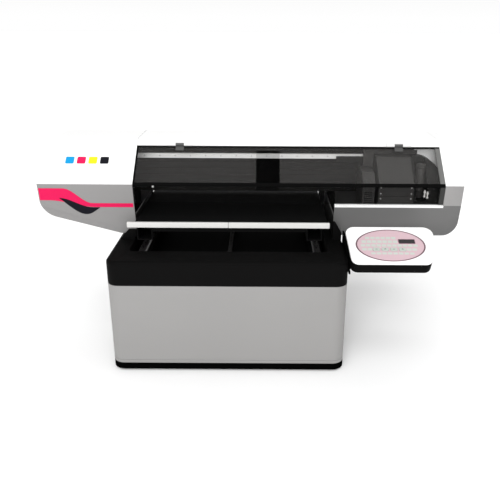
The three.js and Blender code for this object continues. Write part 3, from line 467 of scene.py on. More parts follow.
def rounded(obj, width, segments=3, angle=SHARP_ANGLE):
    """Rounds the sharp edges by width, in millimetres."""
    modifier = obj.modifiers.new("rounding", "BEVEL")
    modifier.width = width * MM
    modifier.segments = segments
    modifier.limit_method = "ANGLE"
    modifier.angle_limit = math.radians(angle)
    modifier.harden_normals = True
    return obj


def smooth(obj):
    for polygon in obj.data.polygons:
        polygon.use_smooth = True
    obj.data.set_sharp_from_angle(angle=math.radians(SHARP_ANGLE))


def finished(obj, material, body, slot, replaces=()):
    """Gives a piece its finish and the body it rides on, and hides the nodes it stands for. The slot argument
    is not used.
    """
    if material is not None:
        obj.data.materials.clear()
        obj.data.materials.append(material)
    smooth(obj)
    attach(obj, body)
    if replaces:
        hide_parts(*replaces)
    return obj


def cad_copy(node):
    """A copy of a CAD node's mesh with flat regions merged back into single faces."""
    obj = add_object(node + "_fine", NODES[node].data.copy())
    obj.data.materials.clear()
    return clean(obj)


def stand_in(obj, node, material=None):
    """Lets obj stand for a CAD node, with the node's body, and its finish unless given."""
    finish = material or FINISH_OF_SLOT[SLOT_OF[node]]
    return finished(obj, finish, BODY_OF[node], SLOT_OF[node], [node])


def fine(node, width, material=None, segments=3):
    """Stands a copy with rounded edges in for a CAD node."""
    return stand_in(rounded(cad_copy(node), width, segments), node, material)


def screws(name, places, normal, radius, material, body, slot, height=2.6):
    """Socket-head screws: places in metres, all facing the same way, joined into one piece."""
    sides = 18
    shape = ((1, 0.0), (1, 0.6), (0.84, 1), (0.5, 1), (0.46, 0.3))
    profile = [(radius * r, height * z) for r, z in shape]
    turn = Vector((0, 0, 1)).rotation_difference(Vector(normal)).to_matrix().to_4x4()
    heads = []
    for place in places:
        matrix = Matrix.Translation(Vector(place)) @ turn
        levels = [
            [matrix @ Vector((u * MM, v * MM, z * MM)) for u, v in round_outline(0, 0, r, sides)]
            for r, z in profile
        ]
        heads.append(rings(name, levels))
    return finished(merged(name, heads), material, body, slot)


def wall_grid(xs, setback, zs):
    """Places in metres on an upright plane, at every x and z given in millimetres."""
    return [(x * MM, behind(setback), z * MM) for x in xs for z in zs]


def slots(name, x_range, d_range, z_levels, height):
    """Tool for cutting a column of louvre slots, in millimetres."""
    half = height / 2
    return merged(name, [block(name, *x_range, *d_range, z - half, z + half) for z in z_levels])


def front_setback(z):
    """Setback of the gantry's front skin at a height, both in millimetres."""
    for (d0, z0), (d1, z1) in ((CREASE, KNEE), (KNEE, FOOT)):
        if z1 <= z < z0:
            return d0 + (z0 - z) * (d1 - d0) / (z0 - z1)
    return CREASE[0] + (z - CREASE[1]) / math.tan(ROOF_SLOPE)


def skin_decal(name, outline, material, lift=0.35):
    """A thin vinyl shape on the gantry's front skin, from an (x, z) outline in millimetres."""
    thickness = 0.25
    points = [(x * MM, 0.0, z * MM) for x, z in outline]
    obj = mesh_object(name, points, [tuple(range(len(points)))])

    def wrap(bm):
        bmesh.ops.triangulate(bm, faces=bm.faces)
        for level in (CREASE[1] + 4, CREASE[1], CREASE[1] - 3, KNEE[1]):
            cut_level(bm, level, 1e-7)
        front = bm.faces[:]
        for vert in bm.verts:
            vert.co.y = behind(front_setback(vert.co.z / MM) - lift - thickness)
        bmesh.ops.recalc_face_normals(bm, faces=front)
        grown = bmesh.ops.extrude_face_region(bm, geom=front)["geom"]
        for item in grown:
            if isinstance(item, bmesh.types.BMVert):
                item.co.y += thickness * MM
        bmesh.ops.recalc_face_normals(bm, faces=bm.faces)

    edit(obj, wrap)
    return finished(obj, material, "base", "white_shell")


# ---- camera, floor, light
def camera():
    """Front view from slightly above, as a machine is shown in a catalogue."""
    data = bpy.data.cameras.new("camera")
    data.sensor_width = 36
    data.lens = 43.58
    data.shift_x = -0.0218
    obj = add_object("camera", data)
    pitch = Matrix.Rotation(math.radians(90 - 21.05), 4, "X")
    roll = Matrix.Rotation(math.radians(0.33), 4, "Z")
    obj.matrix_world = Matrix.Translation((0.0495, BASE_FRONT - 2.3978, 1.5187)) @ pitch @ roll
    bpy.context.scene.camera = obj


def soft_sun(name, elevation, azimuth, strength, spread_angle):
    """A broad even light from an elevation and an azimuth, both in degrees; azimuth 0 is the front."""
    light = bpy.data.lights.new(name, "SUN")
    light.energy = strength
    light.angle = math.radians(spread_angle)
    obj = add_object(name, light)
    up, turn = math.radians(elevation), math.radians(azimuth)
    source = Vector((math.sin(turn) * math.cos(up), -math.cos(turn) * math.cos(up), math.sin(up)))
    obj.rotation_euler = (-source).to_track_quat("-Z", "Y").to_euler()


def world():
    """A pale sky that is brightest at the horizon, so that it meets the floor without a line."""
    sky = bpy.data.worlds.new("studio")
    sky.use_nodes = True
    tree = sky.node_tree
    split = tree.nodes.new("ShaderNodeSeparateXYZ")
    tree.links.new(tree.nodes.new("ShaderNodeTexCoord").outputs["Generated"], split.inputs["Vector"])
    height = spread(tree, split.outputs["Z"], 0, 1, 0.0, 0.35)
    colour = blend_colours(tree, height, (1.0, 1.0, 1.0), (0.6, 0.6, 0.6))
    background = tree.nodes["Background"]
    tree.links.new(colour, background.inputs["Color"])
    set_inputs(background, {"Strength": 1.0})
    bpy.context.scene.world = sky


def studio():
    mat, tree, shader, coords = new_material("studio_floor")
    drift = spread(tree, noise(tree, coords, 0.6), 0, 1)
    tone = blend_colours(tree, drift, (0.94, 0.94, 0.94), (0.96, 0.96, 0.96))
    tree.links.new(tone, shader.inputs["Base Color"])
    set_inputs(shader, {"Roughness": 0.8, "Specular IOR Level": 0.1})
    reach = 60
    floor = mesh_object("floor", rectangle(-reach, reach, -reach, reach, 0), [(0, 1, 2, 3)])
    floor.data.materials.append(mat)
    world()
    bpy.context.scene.view_settings.view_transform = "Standard"
    soft_sun("key", 56, -8, 1.2, 50)
    soft_sun("front_fill", 22, -9, 1.7, 34)
    soft_sun("back_fill", 50, 170, 0.5, 60)


# ---- CAD nodes as they are
def finish_cad_nodes():
    """Every CAD node gets its slot's finish, so that none shows the importer's plain colour."""
    for node, obj in NODES.items():
        obj.data.materials.clear()
        obj.data.materials.append(FINISH_OF_SLOT[SLOT_OF[node]])
        smooth(obj)


# ---- base
BASE = {"left": -626, "right": 432, "front": 0, "back": 1028, "corner": 55}
WELL = {"left": -544, "right": 350, "front": 132, "back": 1000, "corner": 24}
BACK_OPENING = {"x": (-540, 346), "z": (82, 388)}
UPRIGHTS = {"left": (-614, -592), "right": (398, 420)}
UPRIGHT_DEPTH = (530, 720)


def plan(shape):
    """A rounded rectangle seen from above, as corners in metres."""
    left, right = shape["left"] * MM, shape["right"] * MM
    front, back = behind(shape["front"]), behind(shape["back"])
    return rectangle(left, right, front, back, shape["corner"] * MM)


def upright_slot(side, clearance, low, high):
    """Tool for the slot that an upright passes through, with clearance all round."""
    x0, x1 = UPRIGHTS[side]
    front, back = UPRIGHT_DEPTH
    return block("cut", x0 - clearance, x1 + clearance, front - clearance, back + clearance, low, high)


def ring_at(corners, t, z):
    return [(p.x, p.y, z * MM) for p in arc_corners(inset(corners, t * MM))]


def plinth():
    levels = [(2.5, 8), (0.7, 9), (0, 11), (0, 36.5), (0.5, 38.5), (1.6, 39.6), (3, 40)]
    body = rings("plinth_fine", [ring_at(plan(BASE), t, z) for t, z in levels])
    stand_in(body, "plinth", PLINTH_BLACK)


def cabinet():
    """Sheet-metal skin with a hem line near the plinth, and a service door in each side."""
    hem = [(0, 54), (1.8, 55.2), (1.8, 57.8), (0, 59)]
    top = [(0, 421.5), (0.6, 423.1), (1.5, 423.7)]
    outer = [(1.5, 40.3), (0.4, 41), (0, 42.5), *hem, *top]
    inner = [(3.2, 423.7), (3.2, 40.3)]
    levels = [ring_at(plan(BASE), t, z) for t, z in outer + inner]
    skin = rings("cabinet_shell_fine", levels, closed=True)
    holes = [block("cut", *BACK_OPENING["x"], 1000, 1060, *BACK_OPENING["z"])]
    front, back, low, high = 190, 840, 92, 378
    gap, depth, reach = 2.4, 1.3, 5
    vents = [350 - 13 * k for k in range(8)]
    for x, normal in ((BASE["left"], -1), (BASE["right"], 1)):
        x0, x1 = sorted((x + reach * normal, x - depth * normal))
        seam = block("cut", x0, x1, front, back, low, high)
        door = block("cut", x0 - 1, x1 + 1, front + gap, back - gap, low + gap, high - gap)
        boolean(seam, [door])
        holes.append(seam)
        holes.append(slots("cut", (x0 - 6, x1 + 6), (600, 800), vents, 5))
    boolean(skin, holes)
    stand_in(skin, "cabinet_shell")
    outline = arc_corners(millimetres(rectangle(226, 262, 196, 274, 9), side_view=True))
    for side, normal in (("left", -1), ("right", 1)):
        inner, outer = sorted(((BASE[side] - normal) * MM, BASE[side] * MM))
        plate = rounded(prism("door_latch_" + side, outline, "x", inner, outer), 0.4, 2)
        finished(plate, BLACK_SHELL, "base", "black_shell")


def cabinet_back():
    """Back panel with louvres and screws, behind which the mains inlet and switch sit."""
    panel = cad_copy("cabinet_back_panel")
    levels = [330 - 14 * k for k in range(9)]
    columns = [(-490, -330), (-300, -140)]
    boolean(panel, [slots("cut", column, (1010, 1040), levels, 5.5) for column in columns])
    stand_in(rounded(panel, 0.5, 2), "cabinet_back_panel")
    places = wall_grid((-526, -312, -97, 118, 332), 1027.2, (94, 376))
    screws("back_panel_screws", places, (0, 1, 0), 4.2, STEEL, "base", "silver_sheet", 0.7)
    fine("power_inlet", 1, segments=2)
    fine("main_switch", 1.2)


def top_rim():
    """Moulded ring round the well: a soft shoulder, and an upstand before each end housing."""
    bottom, straight, top, shoulder = 424, 522, 537, 16
    steps = 10
    levels = [(2.2, bottom), (0.6, bottom + 0.9), (0, bottom + 2.6)]
    for k in range(steps + 1):
        angle = math.pi / 2 * k / steps
        levels.append((shoulder * (1 - math.cos(angle)), straight + (top - straight) * math.sin(angle)))
    body = rings("top_rim_fine", [ring_at(plan(BASE), t, z) for t, z in levels])
    well = prism("cut", arc_corners(plan(WELL)), "z", (bottom - 9) * MM, (top + 9) * MM)
    cuts = [upright_slot(side, 0.5, 400, 600) for side in UPRIGHTS]
    boolean(body, [well, *cuts])
    ring = rounded(clean(body, 0.2), 3.5, 4, 40)
    upstands = []
    for outer, inner, lip, low, high in ((-612, -536, -576, 540, 580), (428, 387, 398, 572, 622)):
        outline = [(outer, 520), (inner, 520), (inner, high), (lip, high), (outer, low)]
        points = [(x * MM, z * MM) for x, z in (outline if inner > outer else outline[::-1])]
        upstand = prism("upstand", points, "y", behind(290), behind(313))
        boolean(upstand, [block("cut", -544, 350, 280, 323, bottom, top + 10)])
        upstands.append(rounded(clean(upstand, 0.2), 1.5))
    boolean(ring, upstands, "UNION")
    stand_in(ring, "top_rim")


def base_details():
    for foot in ("front_left", "front_right", "back_left", "back_right"):
        fine("levelling_foot_" + foot, 1)
    for side in ("left", "right"):
        fine("upright_" + side, 1.5)
        fine("y_rail_" + side, 0.8)
        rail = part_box("y_rail_" + side)
        middle = (rail[0].x + rail[1].x) / 2
        places = [(middle, behind(165 + 60 * k), rail[1].z - 1.8 * MM) for k in range(14)]
        screws("y_rail_screws_" + side, places, (0, 0, 1), 4.4, BLACK_STEEL, "base", "black_steel", 2)
    fine("deck_plate", 1.5)
    fine("screw_bearing_front", 1.5, segments=2)
    fine("y_motor", 2)
    fine("panel_bracket", 1.5)


def screw_thread():
    """The ball screw, with its thread turned as a helix of small ridges."""
    low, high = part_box("y_screw")
    axis_x, axis_z = (low.x + high.x) / 2, (low.z + high.z) / 2
    journal, core, crest, lead, sides = 7, 8.4, 10.0, 20.0, 16
    crest_share = 0.55
    length = (high.y - low.y) / MM
    first, last = 26.0, length - 36.0
    step = lead / 8

    def ring(w, radius=None):
        """A ring at w along the screw, following the thread where no radius is given."""
        points = []
        for k in range(sides):
            on_crest = (w / lead - k / sides) % 1.0 < crest_share
            r = (radius or (crest if on_crest else core)) * MM
            angle = 2 * math.pi * k / sides
            points.append((axis_x + r * math.cos(angle), low.y + w * MM, axis_z + r * math.sin(angle)))
        return points

    levels = [ring(w, r) for w, r in ((0, journal), (24, journal), (first, core))]
    levels += [ring(first + step * i) for i in range(1, int((last - first) / step))]
    levels += [ring(w, r) for w, r in ((last, core), (last + 2, journal), (length, journal))]
    # Painted shade: darkened steel for the shade in the well.
    stand_in(rings("y_screw_fine", levels), "y_screw", SCREW_STEEL_PAINTED_SHADE)


# ---- gantry
TOP, ROOF_FRONT, HOUSING_BACK = 975, 493, 760
BACK_CORNER, ROOF_CORNER = (HOUSING_BACK, TOP, 36), (ROOF_FRONT, TOP, 45)
SIDE = [(*FOOT, 14), (HOUSING_BACK, FOOT[1], 14), BACK_CORNER, ROOF_CORNER, (*CREASE, 6), (*KNEE, 0)]
OPENING = {"left": -541, "right": 390}
LEFT_FRONT = [(-978, 656, 92), (-617, 553, 20), (-500, 553, 0), (-500, TOP, 0), (-978, TOP, 46)]
RIGHT_FRONT = [(350, 545, 0), (978, 545, 78), (978, TOP, 46), (350, TOP, 0)]
WALL = 5
TRIM_BOTTOM = 694


def casing(name, front, cut_side):
    """A rounded thin-walled end housing: the side view's sweep within the front view's."""
    side = millimetres(SIDE, side_view=True)
    face = millimetres(front)
    low, high = min(c[0] for c in face), max(c[0] for c in face)
    body = prism(name, arc_corners(side), "x", low, high)
    depth = (behind(100), behind(800))
    boolean(body, [prism("cut", arc_corners(face), "y", *depth)], "INTERSECT")
    apply_modifiers(rounded(clean(body, 0.2), 5, 4, 40))
    wall = WALL * MM
    hollow = prism("cut", arc_corners(inset(side, wall)), "x", low + wall, high - wall)
    boolean(hollow, [prism("cut", arc_corners(inset(face, wall)), "y", *depth)], "INTERSECT")
    end_cut = block("cut", *cut_side, 100, 900, 400, 1100)
    return body, hollow, end_cut


def paint_by_height(obj, bands):
    """Paint in height bands, given from the top as (finish, height where the next one starts)."""
    obj.data.materials.clear()
    for finish, _ in bands:
        obj.data.materials.append(finish)
    breaks = [level for _, level in bands[:-1]]

    def split(bm):
        for level in breaks:
            cut_level(bm, level, 1e-6)
        for face in bm.faces:
            z = face.calc_center_median().z / MM
            face.material_index = sum(z < level for level in breaks)

    edit(obj, split)


def darken_inner_wall(obj, x):
    """Painted shade: dark colour on the wall that faces the table, where the opening is in shade."""
    obj.data.materials.append(INNER_WALL_PAINTED_SHADE)
    index = len(obj.data.materials) - 1
    for polygon in obj.data.polygons:
        if abs(polygon.normal.x) > 0.9 and abs(polygon.center.x / MM - x) < WALL + 1:
            polygon.material_index = index


def finish_housing(side, body, bands):
    paint_by_height(body, bands)
    darken_inner_wall(body, OPENING[side])
    finished(rounded(body, 1.0, 2, 40), None, "base", "white_shell", [side + "_housing"])


def housings():
    """The two end housings in white, with painted shade in grey on their lower faces."""
    body, hollow, end_cut = casing("left_housing_fine", LEFT_FRONT, (OPENING["left"], -400))
    wall = OPENING["left"]
    boolean(hollow, [block("cut", wall - WALL, -300, 0, 1000, 300, 1100)])
    upright = upright_slot("left", 1, 500, 600)
    passage_side = arc_corners(inset(millimetres(SIDE, side_view=True), (WALL + 8) * MM))
    passage = prism("cut", passage_side, "x", (wall - 20) * MM, (wall + 10) * MM)
    boolean(passage, [block("cut", -700, -400, 100, 900, 400, 648)])
    boolean(body, [end_cut, hollow, upright, passage])
    # Painted shade: grey below the crease.
    finish_housing("left", body, [(WHITE, CREASE[1]), (WHITE_PAINTED_SHADE, 0)])

    body, hollow, end_cut = casing("right_housing_fine", RIGHT_FRONT, (200, OPENING["right"]))
    boolean(hollow, [block("cut", 200, OPENING["right"] + WALL, 0, 1000, 300, 1100)])
    window = block("cut", 380, 894, 200, 900, KNEE[1], 1100)
    upright = upright_slot("right", 1, 500, 600)
    passage = block("cut", 380, 410, 318, 740, 648, TOP)
    boolean(body, [end_cut, hollow, window, upright, passage])
    # Painted shade: grey below the crease, darker grey below the knee.
    finish_housing("right", body, [(WHITE, CREASE[1]), (WHITE_PAINTED_SHADE, KNEE[1]), (WHITE_DEEP_PAINTED_SHADE, 0)])
    outer = [(318, 707.5, 0), (299.6, 707.5, 3), (front_setback(TRIM_BOTTOM) - 0.4, TRIM_BOTTOM, 1)]
    inner = [(front_setback(TRIM_BOTTOM) + 1.5, TRIM_BOTTOM, 0), (302, 704.5, 0), (318, 704.5, 0)]
    outline = arc_corners(millimetres(outer + inner, side_view=True), 15)
    trim = prism("window_sill_trim", outline, "x", 0.3905, 0.896)
    finished(rounded(trim, 0.4, 2), TRIM_WHITE, "base", "white_shell")


def sheet_path(corners):
    """An open path of (setback, z, radius) corners in millimetres as points in metres."""
    return arc_corners(millimetres(corners, side_view=True))


def offset_path(path, t):
    """The path moved sideways by t, mitred at its bends. Right of the walking direction is plus."""
    moved = []
    for i, point in enumerate(path):
        before = (point - path[i - 1]).normalized() if i else (path[1] - point).normalized()
        after = (path[i + 1] - point).normalized() if i < len(path) - 1 else before
        middle = (before + after).normalized()
        reach = t / max(0.5, middle.dot(before))
        moved.append(point + Vector((middle.y, -middle.x)) * reach)
    return moved


def swept_sheet(name, path, thickness, stations, finishes, finish_of):
    """A bent sheet along x. finish_of(segment, bay) picks the finish of each strip."""
    back = offset_path(path, thickness)
    rows = len(path)
    verts = []
    for x in stations:
        verts += [(x, p.x, p.y) for p in path]
        verts += [(x, p.x, p.y) for p in back]
    faces, finish = [], []
    for bay in range(len(stations) - 1):
        a, b = bay * 2 * rows, (bay + 1) * 2 * rows
        for row in range(rows - 1):
            for shift in (0, rows):
                faces.append((a + shift + row, b + shift + row, b + shift + row + 1, a + shift + row + 1))
                finish.append(finish_of(row, bay))
        for row, kept in ((0, 0), (rows - 1, rows - 2)):
            faces.append((a + row, b + row, b + rows + row, a + rows + row))
            finish.append(finish_of(kept, bay))
    last = (len(stations) - 1) * 2 * rows
    for start, bay in ((0, 0), (last, len(stations) - 2)):
        for row in range(rows - 1):
            faces.append((start + row, start + row + 1, start + rows + row + 1, start + rows + row))
            finish.append(finish_of(row, bay))
    obj = mesh_object(name, verts, faces)
    for material in finishes:
        obj.data.materials.append(material)
    for polygon, index in zip(obj.data.polygons, finish):
        polygon.material_index = index
    return obj


def slope_point(d):
    """The (setback, z) of the roof slope at a setback."""
    return d, CREASE[1] + (d - CREASE[0]) * math.tan(ROOF_SLOPE)


COVER_X = (-540, 893)
FILM_X = (25, 135)


def front_cover():
    """Smoked cover of bent sheet: dark frame, a dark band along the bend, a dark film strip, and a grey right
    edge of painted shade.
    """
    below_z = CREASE[1] - 8
    slope = [(*slope_point(d), 0) for d in (458.5, 453, 440, CREASE[0] + 9)]
    front = [(front_setback(z), z, 0) for z in (below_z, 711)]
    path = sheet_path([*slope, (*CREASE, 6), *front])
    left, right = COVER_X
    stations = [x * MM for x in (left, left + 7, *FILM_X, right - 22, right)]
    clear, clear_low, dark, edge, film, edge_low = range(6)
    last_row = len(path) - 2
    film_bay, right_bay = 2, 4

    def finish_of(row, bay):
        if row == 0 or 2 < row < last_row or bay == 0:
            return dark
        if bay == right_bay:
            return edge_low if row == last_row else edge
        if row == last_row:
            return clear_low
        return film if bay == film_bay and row == 2 else clear

    # The upper panes carry painted reflection and the lower panes painted shade.
    finishes = [SMOKED_SHEET_PAINTED_REFLECTION, SMOKED_SHEET_PAINTED_SHADE, COVER_FRAME, COVER_EDGE_PAINTED_SHADE, FILM, COVER_EDGE_LOW_PAINTED_SHADE]
    sheet = swept_sheet("front_cover_fine", path, -5 * MM, stations, finishes, finish_of)
    finished(sheet, None, "cover", "tinted_sheet", ["front_cover"])
    fine("cover_knob", 0.8, STEEL)
    for side in ("left", "right"):
        fine("roof_hinge_" + side, 0.7, HINGE_GREY, 2)
        fine("cover_hinge_" + side, 0.7, HINGE_DARK, 2)


def roof():
    """White strip over the beam, and the back cover with its louvres."""
    path = sheet_path([(*slope_point(461.5), 0), ROOF_CORNER, BACK_CORNER, (HOUSING_BACK, 945, 0)])
    stations = [x * MM for x in COVER_X]
    strip = swept_sheet("top_cover_fine", path, 4 * MM, stations, [WHITE], lambda row, bay: 0)
    finished(rounded(strip, 0.8, 2, 50), None, "base", "white_shell", ["top_cover"])
    back = cad_copy("rear_cover")
    levels = [900 - 12 * k for k in range(6)]
    columns = [(-460, -300), (-270, -110), (463, 623), (653, 813)]
    boolean(back, [slots("cut", column, (740, 780), levels, 5) for column in columns])
    stand_in(rounded(back, 0.8, 2), "rear_cover")
    places = wall_grid((-524, -285, 0, 177, 400, 638, 877), 759.2, (722, 930))
    screws("rear_cover_screws", places, (0, 1, 0), 4.2, STEEL, "base", "white_shell", 0.7)


def passage_curtain():
    """Dark brush strip behind the table's passage, with a skirt at each side of the table."""
    holder = block("curtain_holder", -539, 388, 748.5, 755.5, 704, 722)
    finished(rounded(holder, 1), BLACK_STEEL, "base", "black_steel")
    front, back, top, bottom = 750.5, 753.5, 704.5, 645
    outline = []
    teeth = 150
    width = (388 + 539) / teeth
    for k in range(teeth):
        x = -539 + width * k
        notch = 0.8 if k % 2 else 2.6
        outline += [(x, bottom + notch), (x + width * 0.8, bottom + notch), (x + width * 0.9, bottom + 20)]
    outline += [(388, bottom + 20), (388, top), (-539, top)]
    points = [(x * MM, z * MM) for x, z in outline]
    strip = prism("passage_curtain", points, "y", behind(front), behind(back))
    skirts = [block("skirt", x0, x1, front, back, 546, 700) for x0, x1 in ((-539.5, -532), (357, 389))]
    finished(merged("passage_curtain", [strip, *skirts]), RUBBER, "base", "rubber")


def beam_and_drive():
    fine("gantry_beam", 1, segments=2)
    fine("x_rail", 1.5)
    fine("x_belt", 0.4, segments=1)
    for pulley in ("drive_pulley", "idler_pulley"):
        fine(pulley, 0.6, segments=2)
    for node, width in (("x_motor", 2), ("cap_stand", 1.5), ("cap_tray", 1.5)):
        fine(node, width)
    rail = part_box("x_rail")
    places = [((-900 + 75 * k) * MM, rail[0].y + 0.2 * MM, (rail[0].z + rail[1].z) / 2) for k in range(25)]
    screws("x_rail_screws", places, (0, -1, 0), 3.4, STEEL, "base", "bright_steel", 0.5)
    for name, low, high in (("low", 703, 866), ("high", 894.5, 899)):
        plate = block("beam_cover_" + name, 22, 138, 558.6, 559.8, low, high)
        finished(plate, COVER_FRAME, "base", "black_steel")
    # Partly painted light: the plate is whiter than the housings' paint to brighten it in the shade.
    plate = block("beam_end_plate", 790, 968, 520, 526, 742, 952)
    finished(rounded(plate, 1.5), END_PLATE_WHITE_AND_PAINTED_LIGHT, "base", "white_shell")
    corners = wall_grid((806, 954), 520, (756, 938))
    screws("beam_end_screws", corners, (0, -1, 0), 4, STEEL, "base", "bright_steel")


# ---- graphics
def wave(start, end, low, high, fall):
    """Points of a line that falls from high to low in a smooth S between two places."""
    steps = 26
    points = []
    for k in range(steps + 1):
        x = start + (end - start) * k / steps
        t = min(1.0, max(0.0, (x - fall[0]) / (fall[1] - fall[0])))
        points.append((x, high + (low - high) * t * t * (3 - 2 * t)))
    return points


def graphics():
    """A row of four ink-colour squares, and a sweeping stripe with a dark companion under it."""
    size, pitch, corner = 40, 54, 5
    up_slope = size * math.sin(ROOF_SLOPE)
    inks = {"cyan": CYAN, "magenta": MAGENTA, "yellow": YELLOW, "black": BLACK_VINYL}
    for index, (name, finish) in enumerate(inks.items()):
        x, z = -846 + pitch * index, 890
        low, high = z - up_slope / 2, z + up_slope / 2
        square = rectangle(x - size / 2, x + size / 2, low, high, corner)
        skin_decal("ink_square_" + name, arc_corners(square, 15), finish)
    upper = wave(-974, -545, 709, 781, (-860, -735))
    lower = wave(-974, -545, 689, 722, (-930, -720))
    skin_decal("sweep_magenta", lower + upper[::-1], MAGENTA)
    top_edge = wave(-884, -700, 688, 734, (-884, -735))
    low_edge = [
        (x, z - 44 * math.sin(math.pi * k / (len(top_edge) - 1)) - 1)
        for k, (x, z) in enumerate(top_edge)
    ]
    skin_decal("sweep_black", low_edge + top_edge[::-1], BLACK_VINYL, 0.7)


# ---- carriage
def carriage_side(front):
    """Side view of the carriage: upright front, then a slant parallel to the cover."""
    bottom, top, back = 690, 903, 514
    bend = 797 - (front - 322) * 0.2
    slant_top = front + (top - bend) / math.tan(ROOF_SLOPE)
    corners = [(front, bottom, 6), (back, bottom, 0), (back, top, 0), (slant_top, top, 12), (front, bend, 12)]
    return arc_corners(millimetres(corners, side_view=True))


def carriage():
    """Print carriage: a pale main cover, a darker end with an ink filter, and the lamp beside it."""
    main = prism("carriage_main_cover", carriage_side(322), "x", 0.595, 0.757)
    boolean(main, [block("cut", 607, 745, 336, 520, 680, 792)])
    groove = block("cut", 594, 758, 300, 400, 742, 744)
    boolean(groove, [prism("keep", carriage_side(323.6), "x", 0.5, 0.8)])
    boolean(main, [groove])
    finished(rounded(main, 2, 3, 40), CARRIAGE_PALE, "carriage", "dark_casing", ["carriage_housing"])
    end = prism("carriage_end_cover", carriage_side(334), "x", 0.7595, 0.905)
    face = [(700, 690, 0), (905, 690, 12), (905, 903, 112), (700, 903, 0)]
    outline = prism("keep", arc_corners(millimetres(face)), "y", behind(200), behind(600))
    boolean(end, [outline], "INTERSECT")
    boolean(end, [block("cut", 772, 824, 300, 470, 716, 1000), block("cut", 774, 885, 350, 520, 680, 712)])
    finished(rounded(end, 2, 3, 40), BLACK_CASING, "carriage", "dark_casing")
    filter_body()
    places = wall_grid((605, 747), 322.2, (702, 732, 756, 784))
    screws("carriage_screws", places, (0, -1, 0), 3.2, STEEL, "carriage", "bright_steel", 0.9)
    fine("carriage_plate", 1.2, DARK_CASING, 2)
    guard = block("rail_guard", 415, 572, 526.6, 530.6, 856, 886)
    finished(rounded(guard, 1.2), BLACK_CASING, "carriage", "dark_casing")
    fine("carriage_block", 2)
    fine("print_heads", 1.2, segments=2)
    lamp()


def turned(name, x, d, profile, sides=28):
    """A turned piece about a vertical line, from its (radius, z) profile in millimetres."""
    levels = []
    for r, z in profile:
        levels.append([(u * MM, behind(v), z * MM) for u, v in round_outline(x, d, r, sides)])
    return rings(name, levels)


def filter_body():
    """Ink filter in the end cover's niche, with a ribbed cap and two bright hose fittings."""
    ribs = [(19, 722), (22, 724)]
    for k in range(6):
        ribs += [(22, 728 + 5 * k), (20.5, 729 + 5 * k), (20.5, 731 + 5 * k), (22, 732 + 5 * k)]
    cup = [(22, 764), (19, 768), (19, 862), (21.5, 865), (21.5, 878), (16, 882)]
    body = turned("ink_filter", 798, 392, ribs + cup)
    finished(body, CARRIAGE_PALE, "carriage", "dark_casing")
    nut = [(3, -34), (5, -33), (5, -26), (3.2, -25), (3.2, -14), (6, -13), (6, -6), (3.6, -5), (3.6, 0)]
    for name, x, top in (("low", 812, 770), ("high", 826, 764)):
        fitting = turned("hose_fitting_" + name, x, 335, [(r, top + z) for r, z in nut], 18)
        finished(fitting, BRIGHT_METAL, "carriage", "bright_steel")


def lamp():
    """Curing lamp with cooling slots in its front."""
    body = cad_copy("uv_lamp")
    boolean(body, [slots("cut", (531, 568), (320, 338), [700 + 10 * k for k in range(7)], 4)])
    stand_in(rounded(body, 2, 3, 40), "uv_lamp", LAMP_CASING)
    places = wall_grid((527, 572), 330.2, (672, 794))
    screws("lamp_screws", places, (0, -1, 0), 2.8, STEEL, "carriage", "bright_steel", 0.9)


# ---- table
TABLE_HEIGHT = 640.0


def table():
    """Perforated table on its frame, with a two-part bright nose."""
    fine("table_plate", 1.2)
    fine("table_frame", 2, segments=2)
    low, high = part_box("table_nose")
    middle = (low.x + high.x) / 2
    section = rectangle(low.y, high.y, low.z, high.z, 0)
    halves = [
        prism("table_nose_fine", section, "x", low.x, middle - 0.6 * MM),
        prism("table_nose_fine", section, "x", middle + 0.6 * MM, high.x),
    ]
    stand_in(rounded(merged("table_nose_fine", halves), 2.5), "table_nose", NOSE_FINISH)
    for side in ("left", "right"):
        fine("table_block_" + side, 2)
    fine("screw_nut", 1.5, segments=2)
    height = TABLE_HEIGHT * MM - 0.4 * MM
    places = [(x * MM, behind(d), height) for x in (-516, -306, -88, 131, 341) for d in (254, 560, 866)]
    screws("table_screws", places, (0, 0, 1), 4.5, BLACK_STEEL, "table", "black_table", 0.35)


# ---- control panel
PANEL_OUTLINE = [(0, 0, 34), (344, 0, 34), (388, 224, 44), (-14, 224, 40)]
OVAL = {"x": 177, "y": 106, "rx": 153, "ry": 97}
TRAY_BOTTOM, LID_BOTTOM = -67, -12
KEY_CENTRES = [(112 + 38 * k, 80) for k in range(4)]
DISPLAY_AREA = (217, 285, 118, 140)


def on_panel(obj):
    """Moves a piece from the panel's own frame, where its lid's face is z = 0, into place."""
    obj.data.transform(PANEL_FRAME)
    return obj


def panel_ring(t, z):
    return ring_at(millimetres(PANEL_OUTLINE), t, z)


def oval_points(scale):
    sides = 72
    turn = 2 * math.pi / sides
    points = []
    for angle in (turn * k for k in range(sides)):
        x, y = OVAL["rx"] * scale * math.cos(angle), OVAL["ry"] * scale * math.sin(angle)
        points.append(((OVAL["x"] + x) * MM, (OVAL["y"] + y) * MM))
    return points


def label_patch(name, x0, x1, y0, y1, corner, low, high):
    outline = arc_corners(millimetres(rectangle(x0, x1, y0, y1, corner)), 15)
    return prism(name, outline, "z", low * MM, high * MM)


def centred_patch(name, x, y, width, height, corner, low, high):
    across, along = width / 2, height / 2
    return label_patch(name, x - across, x + across, y - along, y + along, corner, low, high)


def key_holes(low, high):
    return [centred_patch("cut", x, y, 31, 21, 4, low, high) for x, y in KEY_CENTRES]


